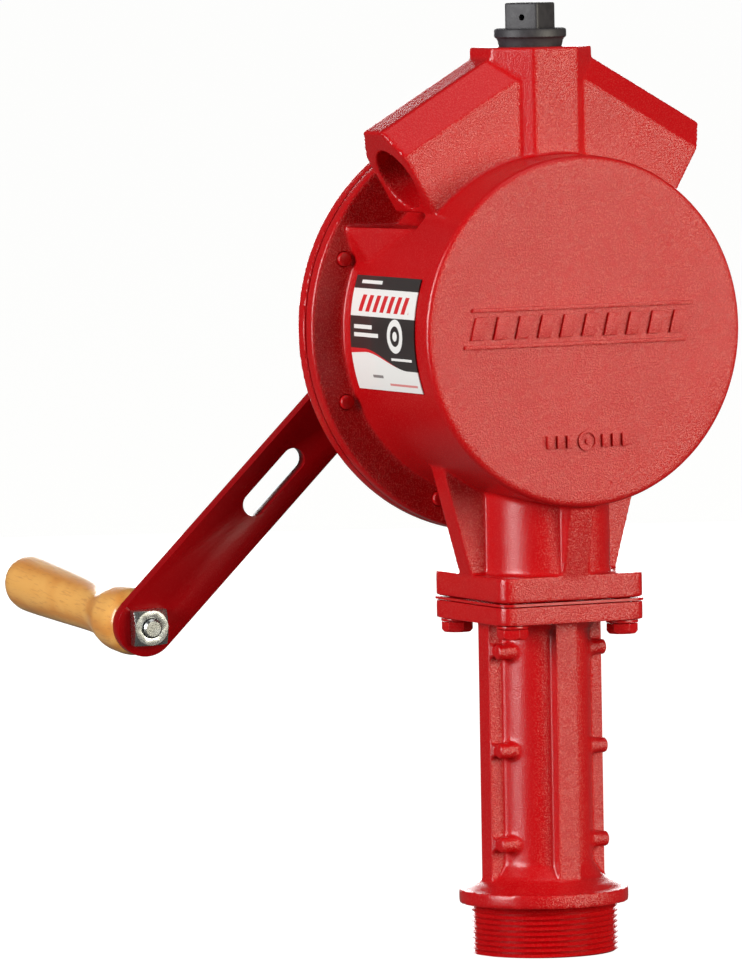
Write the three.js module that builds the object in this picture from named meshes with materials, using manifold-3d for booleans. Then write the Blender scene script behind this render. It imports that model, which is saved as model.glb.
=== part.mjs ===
// Hand-cranked rotary vane transfer pump for drums and tanks.
// Millimetres, +Z up. The origin is on the bung thread's axis, at the shoulder that seats on the drum.
// The closed round face of the casing looks along -Y, and the crank is on the +Y side.

import * as THREE from 'three';
import { mergeVertices, toCreasedNormals } from 'three/addons/utils/BufferGeometryUtils.js';
import Module from 'manifold-3d';

const wasm = await Module();
wasm.setup();

// ---------------------------------------------------------------- driving dimensions

const GAP = 0.3; // clearance left between neighbouring solids
const FINE = 48; // facets round a large cylinder
const ROUND = 24; // facets round a middling cylinder
const SMALL = 12; // facets round a fastener
const ALONG_X = new THREE.Vector3(1, 0, 0);
const ALONG_Y = new THREE.Vector3(0, 1, 0);
const ALONG_Z = new THREE.Vector3(0, 0, 1);

// Inlet column: 2 inch NPT bung thread, collar, ribbed tube and a square flange.
const THREAD_RADIUS = 30.15;
const THREAD_LENGTH = 20.4;
const THREAD_PITCH = 25.4 / 11.5;
const THREAD_DEPTH = 1.5;
const COLLAR_RADIUS = 34.6;
const COLLAR_RIM = 5;
const COLLAR_TOP = 13;
const TUBE_RADIUS = 20.5;
const COLUMN_BORE = 14;
const RIB_HALF_WIDTH = 5;
const FRONT_RIB_REACH = 24.3;
const SIDE_RIB_REACH = 26;
const PAD_RADIUS = 3.3;
const PAD_REACH = 24.7;
const PAD_OFFSET = 9.2;
const PAD_HEIGHTS = [24.9, 63.3, 103.7];
const SUCTION_SOCKET_RADIUS = 16;
const SUCTION_SOCKET_DEPTH = 24;

// Square bolted joint between the column and the casing.
const FLANGE_SIDE = 65.6;
const FLANGE_CORNER = 6;
const FLANGE_UNDERSIDE = 116;
const JOINT_HEIGHT = 124.2;
const FLANGE_TOP = 135.2;
const GASKET_THICKNESS = 1;
const BOLT_PITCH = 50;
const BOLT_RADIUS = 3.1;
const BOLT_HEAD_RADIUS = 6.4;
const BOLT_HEAD_HEIGHT = 4.2;

// Casing: an eccentric-bore drum closed at the front and bolted to a round cover at the rear.
const DRUM_HEIGHT = 234.7;
const DRUM_RADIUS = 71.1;
const DRUM_FRONT = -44.8;
const DRUM_EDGE = 2.5;
const RING_RADIUS = 85.5;
const RING_FRONT = 31.95;
const RING_REAR = 38.4;
const COVER_REAR = 45.75;
const CHAMBER_RADIUS = 58;
const CHAMBER_FRONT = -38;
const SCREW_CIRCLE = 76.2;
const SCREW_COUNT = 8;
const SCREW_RADIUS = 3;
const LEDGE_TOP = 277;
const LEDGE_FOOT = 262;
const LEDGE_FRONT = -8;
const LEDGE_INNER = 32;
const NECK_RADIUS = 26.3;
const NECK_OFFSET = -6.5;

// Outlet tower and the two nozzle boots on top of the drum.
const TOWER_FLATS = 46.2;
const TOWER_TOP = 349.2;
const OUTLET_BORE = 12.4;
const BOOT_SLOPE = THREE.MathUtils.degToRad(30);
const BOOT_HALF_DEPTH = 18.1;
const BOOT_TOP_HALF = 8.3;
const BOOT_CROWN = 19.6;
const BOOT_SHOULDER = 7.7;
const BOOT_KEEL = -19;
const BOOT_END_X = 62.85;
const BOOT_END_Z = 299.2;
const BOOT_BORE = 13.4;
const BOOT_BORE_DEPTH = 34;
const BOOT_BORE_DROP = -3.3;

// Rotor: its axis is above the casing's, so the sliding vanes sweep a growing and shrinking space.
const ECCENTRICITY = 8.1;
const SHAFT_HEIGHT = DRUM_HEIGHT + ECCENTRICITY;
const ROTOR_RADIUS = CHAMBER_RADIUS - ECCENTRICITY - 0.4;
const ROTOR_FRONT = CHAMBER_FRONT + GAP;
const ROTOR_REAR = RING_REAR + GAP;
const SHAFT_RADIUS = 7.9;
const VANE_COUNT = 4;
const VANE_THICKNESS = 6;
const VANE_DEPTH = 24;
const VANE_SLOT_FLOOR = 22;
const BUSH_RADIUS = 11;
const BUSH_LENGTH = 13;

// Cover boss with its bush, shaft seal and gland nut.
const BOSS_RADIUS = 19;
const BOSS_REAR = 68;
const SEAL_POCKET = 14;
const SEAL_POCKET_FRONT = 58;
const GLAND_REAR = 78;

// Crank: a flat steel bar, set back from the casing, with a turned wooden grip.
const CRANK_ANGLE = THREE.MathUtils.degToRad(46);
const CRANK_LEAN = THREE.MathUtils.degToRad(5.5);
const CRANK_FACE = 90.7;
const CRANK_LENGTH = 183;
const CRANK_BEND = 22;
const BAR_WIDTH = 25.4;
const BAR_THICKNESS = 6.35;
const SLOT_LENGTH = 34.7;
const SLOT_WIDTH = 10;
const SLOT_FROM_GRIP = 80.3;
const SHAFT_SQUARE = 11.1;
const GRIP_LENGTH = 135;
const GRIP_BORE = 4.3;
const GRIP_BOLT_RADIUS = 4;
const NUT_SIDE = 14.5;
const NUT_HEIGHT = 5.6;

// ---------------------------------------------------------------- finishes

const finish = (colour, roughness, metalness) => ({ color: colour, roughness, metalness });
const CASTING_RED = finish(0xb3131a, 0.35, 0.0);
const GASKET_FIBRE = finish(0x3b2a26, 0.9, 0.0);
const STEEL = finish(0x8d9094, 0.4, 0.9);
const ZINC = finish(0xbfc4c8, 0.3, 1.0);
const GREY_IRON = finish(0x55585a, 0.6, 0.7);
const CARBON = finish(0x1d1d1f, 0.7, 0.0);
const BRONZE = finish(0xa6793c, 0.45, 0.9);
const RUBBER = finish(0x18181a, 0.8, 0.0);
const BLACK_PLASTIC = finish(0x232225, 0.55, 0.0);
const BEECH = finish(0xd9a35a, 0.5, 0.0);
const LABEL = finish(0xe9e6e0, 0.35, 0.0);

// ---------------------------------------------------------------- solids

function solid(geometry) {
  const bare = geometry.index ? geometry.toNonIndexed() : geometry.clone();
  bare.deleteAttribute('normal');
  bare.deleteAttribute('uv');
  const merged = mergeVertices(bare, 1e-4);
  const mesh = new wasm.Mesh({
    numProp: 3,
    vertProperties: new Float32Array(merged.attributes.position.array),
    triVerts: new Uint32Array(merged.index.array),
  });
  return new wasm.Manifold(mesh);
}

function geometryOf(manifold) {
  const mesh = manifold.getMesh();
  const geometry = new THREE.BufferGeometry();
  geometry.setAttribute('position', new THREE.BufferAttribute(mesh.vertProperties, 3));
  geometry.setIndex(new THREE.BufferAttribute(mesh.triVerts, 1));
  return toCreasedNormals(geometry, Math.PI / 6);
}

// A cylinder or prism from one point to another; sides counts the facets.
function bar(radius, from, to, sides = ROUND, endRadius = radius, turn = 0) {
  const start = new THREE.Vector3(...from);
  const end = new THREE.Vector3(...to);
  const run = end.clone().sub(start);
  const geometry = new THREE.CylinderGeometry(endRadius, radius, run.length(), sides);
  geometry.rotateY(turn);
  const lay = new THREE.Quaternion().setFromUnitVectors(ALONG_Y, run.clone().normalize());
  geometry.applyQuaternion(lay);
  geometry.translate(...start.add(end).multiplyScalar(0.5).toArray());
  return solid(geometry);
}

function block(low, high) {
  const size = high.map((value, axis) => value - low[axis]);
  const geometry = new THREE.BoxGeometry(...size);
  geometry.translate(...low.map((value, axis) => value + size[axis] / 2));
  return solid(geometry);
}

// An outline drawn in its own plane and pushed out by depth along the given third axis.
function plate(outline, depth, basis, origin) {
  const geometry = new THREE.ExtrudeGeometry(outline, { depth, bevelEnabled: false, curveSegments: 5 });
  const place = new THREE.Matrix4().makeBasis(...basis).setPosition(...origin);
  geometry.applyMatrix4(place);
  return solid(geometry);
}

// A turned shape: profile gives [radius, distance] pairs, and it lies along the given axis.
function turned(profile, axis, origin, sides = ROUND) {
  const points = profile.map(([radius, distance]) => new THREE.Vector2(radius, distance));
  const geometry = new THREE.LatheGeometry(points, sides);
  geometry.applyQuaternion(new THREE.Quaternion().setFromUnitVectors(ALONG_Y, axis));
  geometry.translate(...origin);
  return solid(geometry);
}

function polygon(points) {
  return new THREE.Shape(points.map(([x, y]) => new THREE.Vector2(x, y)));
}

function roundedSquare(side, corner) {
  const half = side / 2;
  const shape = new THREE.Shape();
  shape.moveTo(half, -half + corner);
  shape.lineTo(half, half - corner);
  shape.absarc(half - corner, half - corner, corner, 0, Math.PI / 2, false);
  shape.absarc(-half + corner, half - corner, corner, Math.PI / 2, Math.PI, false);
  shape.absarc(-half + corner, -half + corner, corner, Math.PI, Math.PI * 1.5, false);
  shape.absarc(half - corner, -half + corner, corner, Math.PI * 1.5, Math.PI * 2, false);
  return shape;
}

function stadium(length, width) {
  const radius = width / 2;
  const reach = length / 2 - radius;
  const shape = new THREE.Shape();
  shape.absarc(reach, 0, radius, -Math.PI / 2, Math.PI / 2, false);
  shape.absarc(-reach, 0, radius, Math.PI / 2, Math.PI * 1.5, false);
  return shape;
}

const join = (...parts) => parts.reduce((whole, part) => whole.add(part));
const cut = (body, ...tools) => tools.reduce((whole, tool) => whole.subtract(tool), body);

const pump = new THREE.Group();

function add(name, manifold, look, parent = pump) {
  const mesh = new THREE.Mesh(geometryOf(manifold), new THREE.MeshStandardMaterial(look));
  mesh.name = name;
  parent.add(mesh);
  return mesh;
}

const XY = [ALONG_X, ALONG_Y, ALONG_Z];
const boltSpots = [
  [-1, -1],
  [1, -1],
  [1, 1],
  [-1, 1],
].map(([x, y]) => [(x * BOLT_PITCH) / 2, (y * BOLT_PITCH) / 2]);

// ---------------------------------------------------------------- inlet column

function inletColumn() {
  const turns = Math.floor(THREAD_LENGTH / THREAD_PITCH);
  const profile = [[0, -THREAD_LENGTH]];
  profile.push([THREAD_RADIUS - THREAD_DEPTH, -THREAD_LENGTH]);
  for (let turn = 0; turn < turns; turn += 1) {
    const crest = -THREAD_LENGTH + (turn + 0.5) * THREAD_PITCH;
    profile.push([THREAD_RADIUS, crest]);
    profile.push([THREAD_RADIUS - THREAD_DEPTH, crest + THREAD_PITCH / 2]);
  }
  profile.push([THREAD_RADIUS - THREAD_DEPTH, -1]);
  profile.push([THREAD_RADIUS + 0.15, -1]);
  profile.push([THREAD_RADIUS + 0.15, 0]);
  profile.push([COLLAR_RADIUS - 0.6, 0]);
  profile.push([COLLAR_RADIUS, 0.8]);
  profile.push([COLLAR_RADIUS, COLLAR_RIM]);
  profile.push([COLLAR_RADIUS - 1.4, COLLAR_RIM + 1.4]);
  profile.push([TUBE_RADIUS + 7.5, COLLAR_RIM + 3.2]);
  profile.push([TUBE_RADIUS + 3, COLLAR_RIM + 5.4]);
  profile.push([TUBE_RADIUS, COLLAR_TOP + 2]);
  profile.push([TUBE_RADIUS, FLANGE_UNDERSIDE + 1]);
  profile.push([0, FLANGE_UNDERSIDE + 1]);
  const tube = turned(profile, ALONG_Z, [0, 0, 0], 28);

  const ribFoot = COLLAR_RIM + 1;
  const frontRib = block([-RIB_HALF_WIDTH, -FRONT_RIB_REACH, ribFoot + 5], [RIB_HALF_WIDTH, FRONT_RIB_REACH, 117]);
  const sideRib = block([-SIDE_RIB_REACH, -RIB_HALF_WIDTH, ribFoot + 4], [SIDE_RIB_REACH, RIB_HALF_WIDTH, 117]);
  const topPlate = plate(
    roundedSquare(FLANGE_SIDE, FLANGE_CORNER),
    JOINT_HEIGHT - GASKET_THICKNESS / 2 - GAP - FLANGE_UNDERSIDE,
    XY,
    [0, 0, FLANGE_UNDERSIDE],
  );

  let column = join(tube, frontRib, sideRib, topPlate);
  for (const height of PAD_HEIGHTS) {
    const pad = bar(PAD_RADIUS, [-PAD_REACH, -PAD_OFFSET, height], [PAD_REACH, -PAD_OFFSET, height], 8);
    column = column.add(pad);
  }

  const bore = bar(COLUMN_BORE, [0, 0, -30], [0, 0, 130]);
  const socket = bar(SUCTION_SOCKET_RADIUS, [0, 0, -30], [0, 0, -THREAD_LENGTH + SUCTION_SOCKET_DEPTH]);
  const valvePocket = bar(16.8, [0, 0, 104], [0, 0, 130]);
  column = cut(column, bore, socket, valvePocket);
  for (const [x, y] of boltSpots) {
    column = column.subtract(bar(BOLT_RADIUS + GAP, [x, y, 110], [x, y, 130], SMALL));
  }
  return column;
}

add('inlet_column', inletColumn(), CASTING_RED);

const jointGasket = cut(
  plate(roundedSquare(FLANGE_SIDE + 0.6, FLANGE_CORNER), GASKET_THICKNESS, XY, [
    0,
    0,
    JOINT_HEIGHT - GASKET_THICKNESS / 2,
  ]),
  bar(17.5, [0, 0, 120], [0, 0, 130]),
  ...boltSpots.map(([x, y]) => bar(BOLT_RADIUS + GAP, [x, y, 120], [x, y, 130], SMALL)),
);
add('column_gasket', jointGasket, GASKET_FIBRE);

boltSpots.forEach(([x, y], index) => {
  const washerTop = FLANGE_UNDERSIDE - GAP;
  const washerFoot = washerTop - 1.2;
  const washer = cut(
    bar(6.6, [x, y, washerFoot], [x, y, washerTop], SMALL),
    bar(BOLT_RADIUS + GAP, [x, y, 100], [x, y, 130], SMALL),
  );
  add(`flange_washer_${index + 1}`, washer, CASTING_RED);
  const headTop = washerFoot - GAP;
  const bolt = join(
    bar(BOLT_HEAD_RADIUS, [x, y, headTop - BOLT_HEAD_HEIGHT], [x, y, headTop], 6, BOLT_HEAD_RADIUS, Math.PI / 6),
    bar(BOLT_RADIUS, [x, y, headTop - 1], [x, y, 133], SMALL),
  );
  add(`flange_bolt_${index + 1}`, bolt, CASTING_RED);
});

// ---------------------------------------------------------------- inlet check valve and strainer

const SEAT_FOOT = 104 + GAP;
const SEAT_TOP = 108;
const POPPET_THICKNESS = 2.4;
const GUIDE_FOOT = 119.7;
const VALVE_OUTER = 16.4;

const valveSeat = cut(
  bar(VALVE_OUTER, [0, 0, SEAT_FOOT], [0, 0, SEAT_TOP]),
  bar(10, [0, 0, 90], [0, 0, 130]),
);
add('inlet_valve_seat', valveSeat, BRONZE);

const poppet = join(
  bar(12.4, [0, 0, SEAT_TOP + GAP], [0, 0, SEAT_TOP + GAP + POPPET_THICKNESS]),
  bar(2, [0, 0, SEAT_TOP + 1], [0, 0, GUIDE_FOOT + 6], SMALL),
);
add('inlet_valve_poppet', poppet, RUBBER);

const spokes = [0, 1, 2].map((spoke) => {
  const angle = (spoke * Math.PI * 2) / 3;
  const tip = [Math.cos(angle) * 15, Math.sin(angle) * 15, GUIDE_FOOT + 1.2];
  return bar(1.2, [Math.cos(angle) * 3, Math.sin(angle) * 3, GUIDE_FOOT + 1.2], tip, 8);
});
const valveGuide = cut(
  join(
    cut(
      bar(VALVE_OUTER, [0, 0, GUIDE_FOOT], [0, 0, GUIDE_FOOT + 2.4]),
      bar(13.4, [0, 0, 100], [0, 0, 140]),
    ),
    bar(4.4, [0, 0, GUIDE_FOOT], [0, 0, GUIDE_FOOT + 2.4], SMALL),
    ...spokes,
  ),
  bar(2 + GAP, [0, 0, 100], [0, 0, 140], SMALL),
);
add('inlet_valve_guide', valveGuide, BRONZE);

function springCoil(radius, wire, foot, top, turns, steps) {
  class Helix extends THREE.Curve {
    getPoint(t, target = new THREE.Vector3()) {
      const angle = t * turns * Math.PI * 2;
      return target.set(Math.cos(angle) * radius, Math.sin(angle) * radius, foot + (top - foot) * t);
    }
  }
  const section = new THREE.Shape();
  section.absarc(0, 0, wire, 0, Math.PI * 2, false);
  return solid(
    new THREE.ExtrudeGeometry(section, { steps, curveSegments: 3, extrudePath: new Helix(), bevelEnabled: false }),
  );
}
const springFoot = SEAT_TOP + GAP + POPPET_THICKNESS + GAP + 0.6;
add('inlet_valve_spring', springCoil(5.2, 0.5, springFoot, GUIDE_FOOT - 1, 3, 27), STEEL);

const STRAINER_TOP = 103.5;
const strainer = cut(
  bar(13.6, [0, 0, 64], [0, 0, STRAINER_TOP]),
  bar(12.6, [0, 0, 65.2], [0, 0, 120]),
  ...[70, 78, 86, 94].map((height) => block([-20, -2.2, height], [20, 2.2, height + 4.5])),
  ...[70, 78, 86, 94].map((height) => block([-2.2, -20, height], [2.2, 20, height + 4.5])),
);
add('strainer_basket', strainer, STEEL);

// ---------------------------------------------------------------- casing

function boot(side) {
  const along = new THREE.Vector3(side * Math.cos(BOOT_SLOPE), 0, -Math.sin(BOOT_SLOPE));
  const up = new THREE.Vector3(side * Math.sin(BOOT_SLOPE), 0, Math.cos(BOOT_SLOPE));
  const across = new THREE.Vector3().crossVectors(up, along);
  const section = polygon([
    [-BOOT_HALF_DEPTH, BOOT_KEEL],
    [BOOT_HALF_DEPTH, BOOT_KEEL],
    [BOOT_HALF_DEPTH, BOOT_SHOULDER],
    [BOOT_TOP_HALF, BOOT_CROWN],
    [-BOOT_TOP_HALF, BOOT_CROWN],
    [-BOOT_HALF_DEPTH, BOOT_SHOULDER],
  ]);
  const end = new THREE.Vector3(side * BOOT_END_X, 0, BOOT_END_Z);
  const length = 62;
  const root = end.clone().addScaledVector(along, -length);
  const arm = plate(section, length, [across, up, along], root.toArray());
  const mouth = end.clone().addScaledVector(up, BOOT_BORE_DROP).addScaledVector(along, 1);
  const floor = mouth.clone().addScaledVector(along, -1 - BOOT_BORE_DEPTH);
  const bore = bar(BOOT_BORE, floor.toArray(), mouth.toArray());
  return { arm, bore };
}

function gusset(side) {
  const foot = FLANGE_TOP - 1;
  const outline = polygon([
    [side * 20, foot],
    [(side * FLANGE_SIDE) / 2, foot],
    [side * (FLANGE_SIDE / 2 + 9.6), foot + 34.5],
    [side * 46, 182],
    [side * 20, 182],
  ]);
  return plate(outline, 11.7, [ALONG_X, ALONG_Z, ALONG_Y.clone().negate()], [0, 6.7, 0]);
}

// An arc-shaped pocket cut into the chamber's wall, between two angles measured from +X towards +Z.
function portPocket(fromDegrees, toDegrees) {
  const start = THREE.MathUtils.degToRad(fromDegrees);
  const end = THREE.MathUtils.degToRad(toDegrees);
  const shape = new THREE.Shape();
  shape.absarc(0, 0, CHAMBER_RADIUS + 6, start, end, false);
  shape.absarc(0, 0, CHAMBER_RADIUS - 2, end, start, true);
  return plate(shape, 34, [ALONG_X, ALONG_Z, ALONG_Y.clone().negate()], [0, 14, DRUM_HEIGHT]);
}

// The drum's shoulder below and behind each boot is hollowed down to a flat ledge that widens to the ring.
function shoulderHollow(side) {
  const wall = bar(CHAMBER_RADIUS + 4.5, [0, -60, DRUM_HEIGHT], [0, 60, DRUM_HEIGHT], FINE);
  const inner = side * LEDGE_INNER;
  const outer = side * 90;
  const low = [Math.min(inner, outer), LEDGE_FRONT, LEDGE_TOP];
  const high = [Math.max(inner, outer), RING_FRONT, 340];
  return block(low, high).subtract(wall);
}

function ledge(side) {
  return wasm.Manifold.hull([
    [side * 50, RING_FRONT + 1, LEDGE_FOOT],
    [side * 65, RING_FRONT + 1, LEDGE_FOOT],
    [side * 50, RING_FRONT + 1, LEDGE_TOP],
    [side * 69.7, RING_FRONT + 1, LEDGE_TOP],
    [side * 50, 0, LEDGE_FOOT],
    [side * 63, 0, LEDGE_FOOT],
    [side * 50, 0, LEDGE_TOP],
    [side * 60, 0, LEDGE_TOP],
  ]);
}

function screwSpots() {
  const step = (Math.PI * 2) / SCREW_COUNT;
  return Array.from({ length: SCREW_COUNT }, (_, index) => {
    const angle = step * (index + 0.5);
    return [Math.cos(angle) * SCREW_CIRCLE, DRUM_HEIGHT + Math.sin(angle) * SCREW_CIRCLE];
  });
}

function pumpCasing() {
  const drum = turned(
    [
      [0, DRUM_FRONT],
      [DRUM_RADIUS - DRUM_EDGE, DRUM_FRONT],
      [DRUM_RADIUS - DRUM_EDGE * 0.4, DRUM_FRONT + DRUM_EDGE * 0.4],
      [DRUM_RADIUS, DRUM_FRONT + DRUM_EDGE],
      [DRUM_RADIUS, RING_FRONT],
      [RING_RADIUS - 1, RING_FRONT],
      [RING_RADIUS, RING_FRONT + 1],
      [RING_RADIUS, RING_REAR],
      [0, RING_REAR],
    ],
    ALONG_Y,
    [0, 0, DRUM_HEIGHT],
    FINE,
  );
  const octagonRadius = TOWER_FLATS / 2 / Math.cos(Math.PI / 8);
  const tower = bar(octagonRadius, [0, 0, 290], [0, 0, TOWER_TOP], 8, octagonRadius - 0.3, Math.PI / 8);
  const left = boot(-1);
  const right = boot(1);
  const neck = bar(NECK_RADIUS, [0, NECK_OFFSET, FLANGE_TOP - 1], [0, NECK_OFFSET, 186], 32);
  const flangeFoot = JOINT_HEIGHT + GASKET_THICKNESS / 2 + GAP;
  const flange = plate(roundedSquare(FLANGE_SIDE, FLANGE_CORNER), FLANGE_TOP - flangeFoot, XY, [0, 0, flangeFoot]);
  const frontRib = plate(
    polygon([
      [-FLANGE_SIDE / 2, FLANGE_TOP - 1],
      [-20, FLANGE_TOP - 1],
      [-20, 180],
      [-40, 180],
      [-39.5, 160],
    ]),
    11.6,
    [ALONG_Y, ALONG_Z, ALONG_X],
    [-5.8, 0, 0],
  );
  const rearRib = plate(
    polygon([
      [FLANGE_SIDE / 2, FLANGE_TOP - 1],
      [15, FLANGE_TOP - 1],
      [15, 180],
      [RING_FRONT, 180],
      [RING_FRONT, 158],
    ]),
    11,
    [ALONG_Y, ALONG_Z, ALONG_X],
    [-5.5, 0, 0],
  );
  const shouldered = cut(join(drum, ledge(-1), ledge(1)), shoulderHollow(-1), shoulderHollow(1));
  let casing = join(shouldered, tower, left.arm, right.arm, neck, flange, frontRib, rearRib, gusset(-1), gusset(1));

  const chamber = bar(CHAMBER_RADIUS, [0, CHAMBER_FRONT, DRUM_HEIGHT], [0, 60, DRUM_HEIGHT], FINE);
  const bushPocket = bar(
    BUSH_RADIUS + GAP,
    [0, CHAMBER_FRONT - 3.5, SHAFT_HEIGHT],
    [0, CHAMBER_FRONT + BUSH_LENGTH, SHAFT_HEIGHT],
  );
  const boss = bar(15, [0, CHAMBER_FRONT - 1, SHAFT_HEIGHT], [0, CHAMBER_FRONT + 10, SHAFT_HEIGHT]);
  casing = cut(casing, left.bore, right.bore, chamber).add(boss);
  casing = cut(
    casing,
    bushPocket,
    bar(10.5, [0, 0, 120], [0, -2, 150]),
    bar(8.5, [0, -2, 146], [-22, -4, 190]),
    portPocket(140, 248),
    bar(7.5, [26, -3, 286], [0, 0, 326]),
    portPocket(-62, 34),
    bar(OUTLET_BORE + 0.9, [0, 0, 322], [0, 0, 360]),
  );
  for (const [x, y] of boltSpots) {
    casing = casing.subtract(bar(BOLT_RADIUS + GAP, [x, y, 120], [x, y, 133.5], SMALL));
  }
  for (const [x, z] of screwSpots()) {
    casing = casing.subtract(bar(SCREW_RADIUS + GAP, [x, 20, z], [x, 60, z], SMALL));
  }
  return casing;
}

add('pump_casing', pumpCasing(), CASTING_RED);

// ---------------------------------------------------------------- rear cover, gasket and screws

const COVER_FRONT = RING_REAR + 1.4;

const coverGasket = cut(
  bar(RING_RADIUS, [0, RING_REAR + GAP, DRUM_HEIGHT], [0, COVER_FRONT - GAP, DRUM_HEIGHT], FINE),
  bar(CHAMBER_RADIUS + 7, [0, 0, DRUM_HEIGHT], [0, 60, DRUM_HEIGHT], FINE),
  ...screwSpots().map(([x, z]) => bar(SCREW_RADIUS + GAP, [x, 20, z], [x, 60, z], SMALL)),
);
add('cover_gasket', coverGasket, GASKET_FIBRE);

function rearCover() {
  const disc = turned(
    [
      [0, COVER_FRONT],
      [RING_RADIUS, COVER_FRONT],
      [RING_RADIUS, COVER_REAR - 1],
      [RING_RADIUS - 1, COVER_REAR],
      [0, COVER_REAR],
    ],
    ALONG_Y,
    [0, 0, DRUM_HEIGHT],
    FINE,
  );
  const boss = bar(BOSS_RADIUS + 3, [0, COVER_REAR - 1, SHAFT_HEIGHT], [0, BOSS_REAR, SHAFT_HEIGHT], ROUND, BOSS_RADIUS);
  const webs = [0, 60, 120].map((degrees) => {
    const outline = polygon([
      [-64, COVER_REAR - 1],
      [64, COVER_REAR - 1],
      [64, COVER_REAR + 3],
      [16, BOSS_REAR - 4],
      [-16, BOSS_REAR - 4],
      [-64, COVER_REAR + 3],
    ]);
    const turn = THREE.MathUtils.degToRad(degrees + 30);
    const reach = new THREE.Vector3(Math.cos(turn), 0, Math.sin(turn));
    const thick = new THREE.Vector3().crossVectors(reach, ALONG_Y);
    const origin = thick.clone().multiplyScalar(-2.5).add(new THREE.Vector3(0, 0, DRUM_HEIGHT));
    return plate(outline, 5, [reach, ALONG_Y, thick], origin.toArray());
  });
  return cut(
    join(disc, boss, ...webs),
    bar(BUSH_RADIUS + GAP, [0, COVER_FRONT + 1.5, SHAFT_HEIGHT], [0, SEAL_POCKET_FRONT + 1, SHAFT_HEIGHT]),
    bar(SHAFT_RADIUS + GAP, [0, 20, SHAFT_HEIGHT], [0, 80, SHAFT_HEIGHT]),
    bar(SEAL_POCKET + GAP, [0, SEAL_POCKET_FRONT, SHAFT_HEIGHT], [0, 80, SHAFT_HEIGHT]),
    ...screwSpots().map(([x, z]) => bar(SCREW_RADIUS + GAP, [x, 20, z], [x, 60, z], SMALL)),
  );
}

add('rear_cover', rearCover(), CASTING_RED);

screwSpots().forEach(([x, z], index) => {
  const headFront = COVER_REAR + GAP;
  const screw = join(
    bar(5.8, [x, headFront, z], [x, headFront + 4, z], 6),
    bar(SCREW_RADIUS, [x, RING_FRONT - 1.8, z], [x, headFront + 1, z], SMALL),
  );
  add(`cover_screw_${index + 1}`, screw, CASTING_RED);
});

// ---------------------------------------------------------------- outlet plug

const PLUG_FLANGE_RADIUS = 14.7;
const PLUG_SQUARE = 15.5;
const PLUG_TURN = THREE.MathUtils.degToRad(34);

function outletPlug() {
  const body = turned(
    [
      [0, 332],
      [12.2, 332],
      [12.9, TOWER_TOP + 0.3],
      [13.6, TOWER_TOP + 3.4],
      [PLUG_FLANGE_RADIUS, TOWER_TOP + 3.6],
      [PLUG_FLANGE_RADIUS, TOWER_TOP + 6.8],
      [PLUG_FLANGE_RADIUS - 0.6, TOWER_TOP + 7.4],
      [0, TOWER_TOP + 7.4],
    ],
    ALONG_Z,
    [0, 0, 0],
    ROUND,
  );
  const head = new THREE.BoxGeometry(PLUG_SQUARE, PLUG_SQUARE, 11);
  head.rotateZ(PLUG_TURN);
  head.translate(0, 0, TOWER_TOP + 12.15);
  return cut(join(body, solid(head)), bar(9.5, [0, 0, 320], [0, 0, TOWER_TOP + 3], ROUND));
}

add('outlet_plug', outletPlug(), BLACK_PLASTIC);

// ---------------------------------------------------------------- bushes, shaft seal and gland nut

const frontBush = cut(
  bar(BUSH_RADIUS, [0, CHAMBER_FRONT - 3.2, SHAFT_HEIGHT], [0, CHAMBER_FRONT + 9.6, SHAFT_HEIGHT]),
  bar(SHAFT_RADIUS + GAP, [0, -60, SHAFT_HEIGHT], [0, 0, SHAFT_HEIGHT]),
);
add('front_bush', frontBush, BRONZE);

const rearBush = cut(
  bar(BUSH_RADIUS, [0, COVER_FRONT + 1.8, SHAFT_HEIGHT], [0, SEAL_POCKET_FRONT - GAP, SHAFT_HEIGHT]),
  bar(SHAFT_RADIUS + GAP, [0, 20, SHAFT_HEIGHT], [0, 80, SHAFT_HEIGHT]),
);
add('rear_bush', rearBush, BRONZE);

const shaftSeal = cut(
  bar(SEAL_POCKET, [0, SEAL_POCKET_FRONT + GAP, SHAFT_HEIGHT], [0, BOSS_REAR - 3, SHAFT_HEIGHT]),
  bar(SHAFT_RADIUS + GAP, [0, 20, SHAFT_HEIGHT], [0, 80, SHAFT_HEIGHT]),
);
add('shaft_seal', shaftSeal, RUBBER);

const glandNut = cut(
  join(
    bar(SEAL_POCKET, [0, BOSS_REAR - 3 + GAP, SHAFT_HEIGHT], [0, BOSS_REAR + 1, SHAFT_HEIGHT]),
    bar(17.6, [0, BOSS_REAR + GAP, SHAFT_HEIGHT], [0, GLAND_REAR, SHAFT_HEIGHT], 6),
  ),
  bar(SHAFT_RADIUS + GAP, [0, 20, SHAFT_HEIGHT], [0, 90, SHAFT_HEIGHT]),
);
add('gland_nut', glandNut, STEEL);

// ---------------------------------------------------------------- rotor, vanes, vane springs, shaft and key

const rotorFrame = new THREE.Group();
rotorFrame.position.set(0, 0, SHAFT_HEIGHT);
pump.add(rotorFrame);

const KEY_HEIGHT = 2.4;
const KEY_HALF = 2.4;
const vaneHalf = VANE_THICKNESS / 2;

const vaneTurn = (index) => Math.PI / 4 + (index * Math.PI * 2) / VANE_COUNT;

function aroundShaft(manifold, angle) {
  const degrees = THREE.MathUtils.radToDeg(angle);
  return manifold.rotate([0, degrees, 0]);
}

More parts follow.
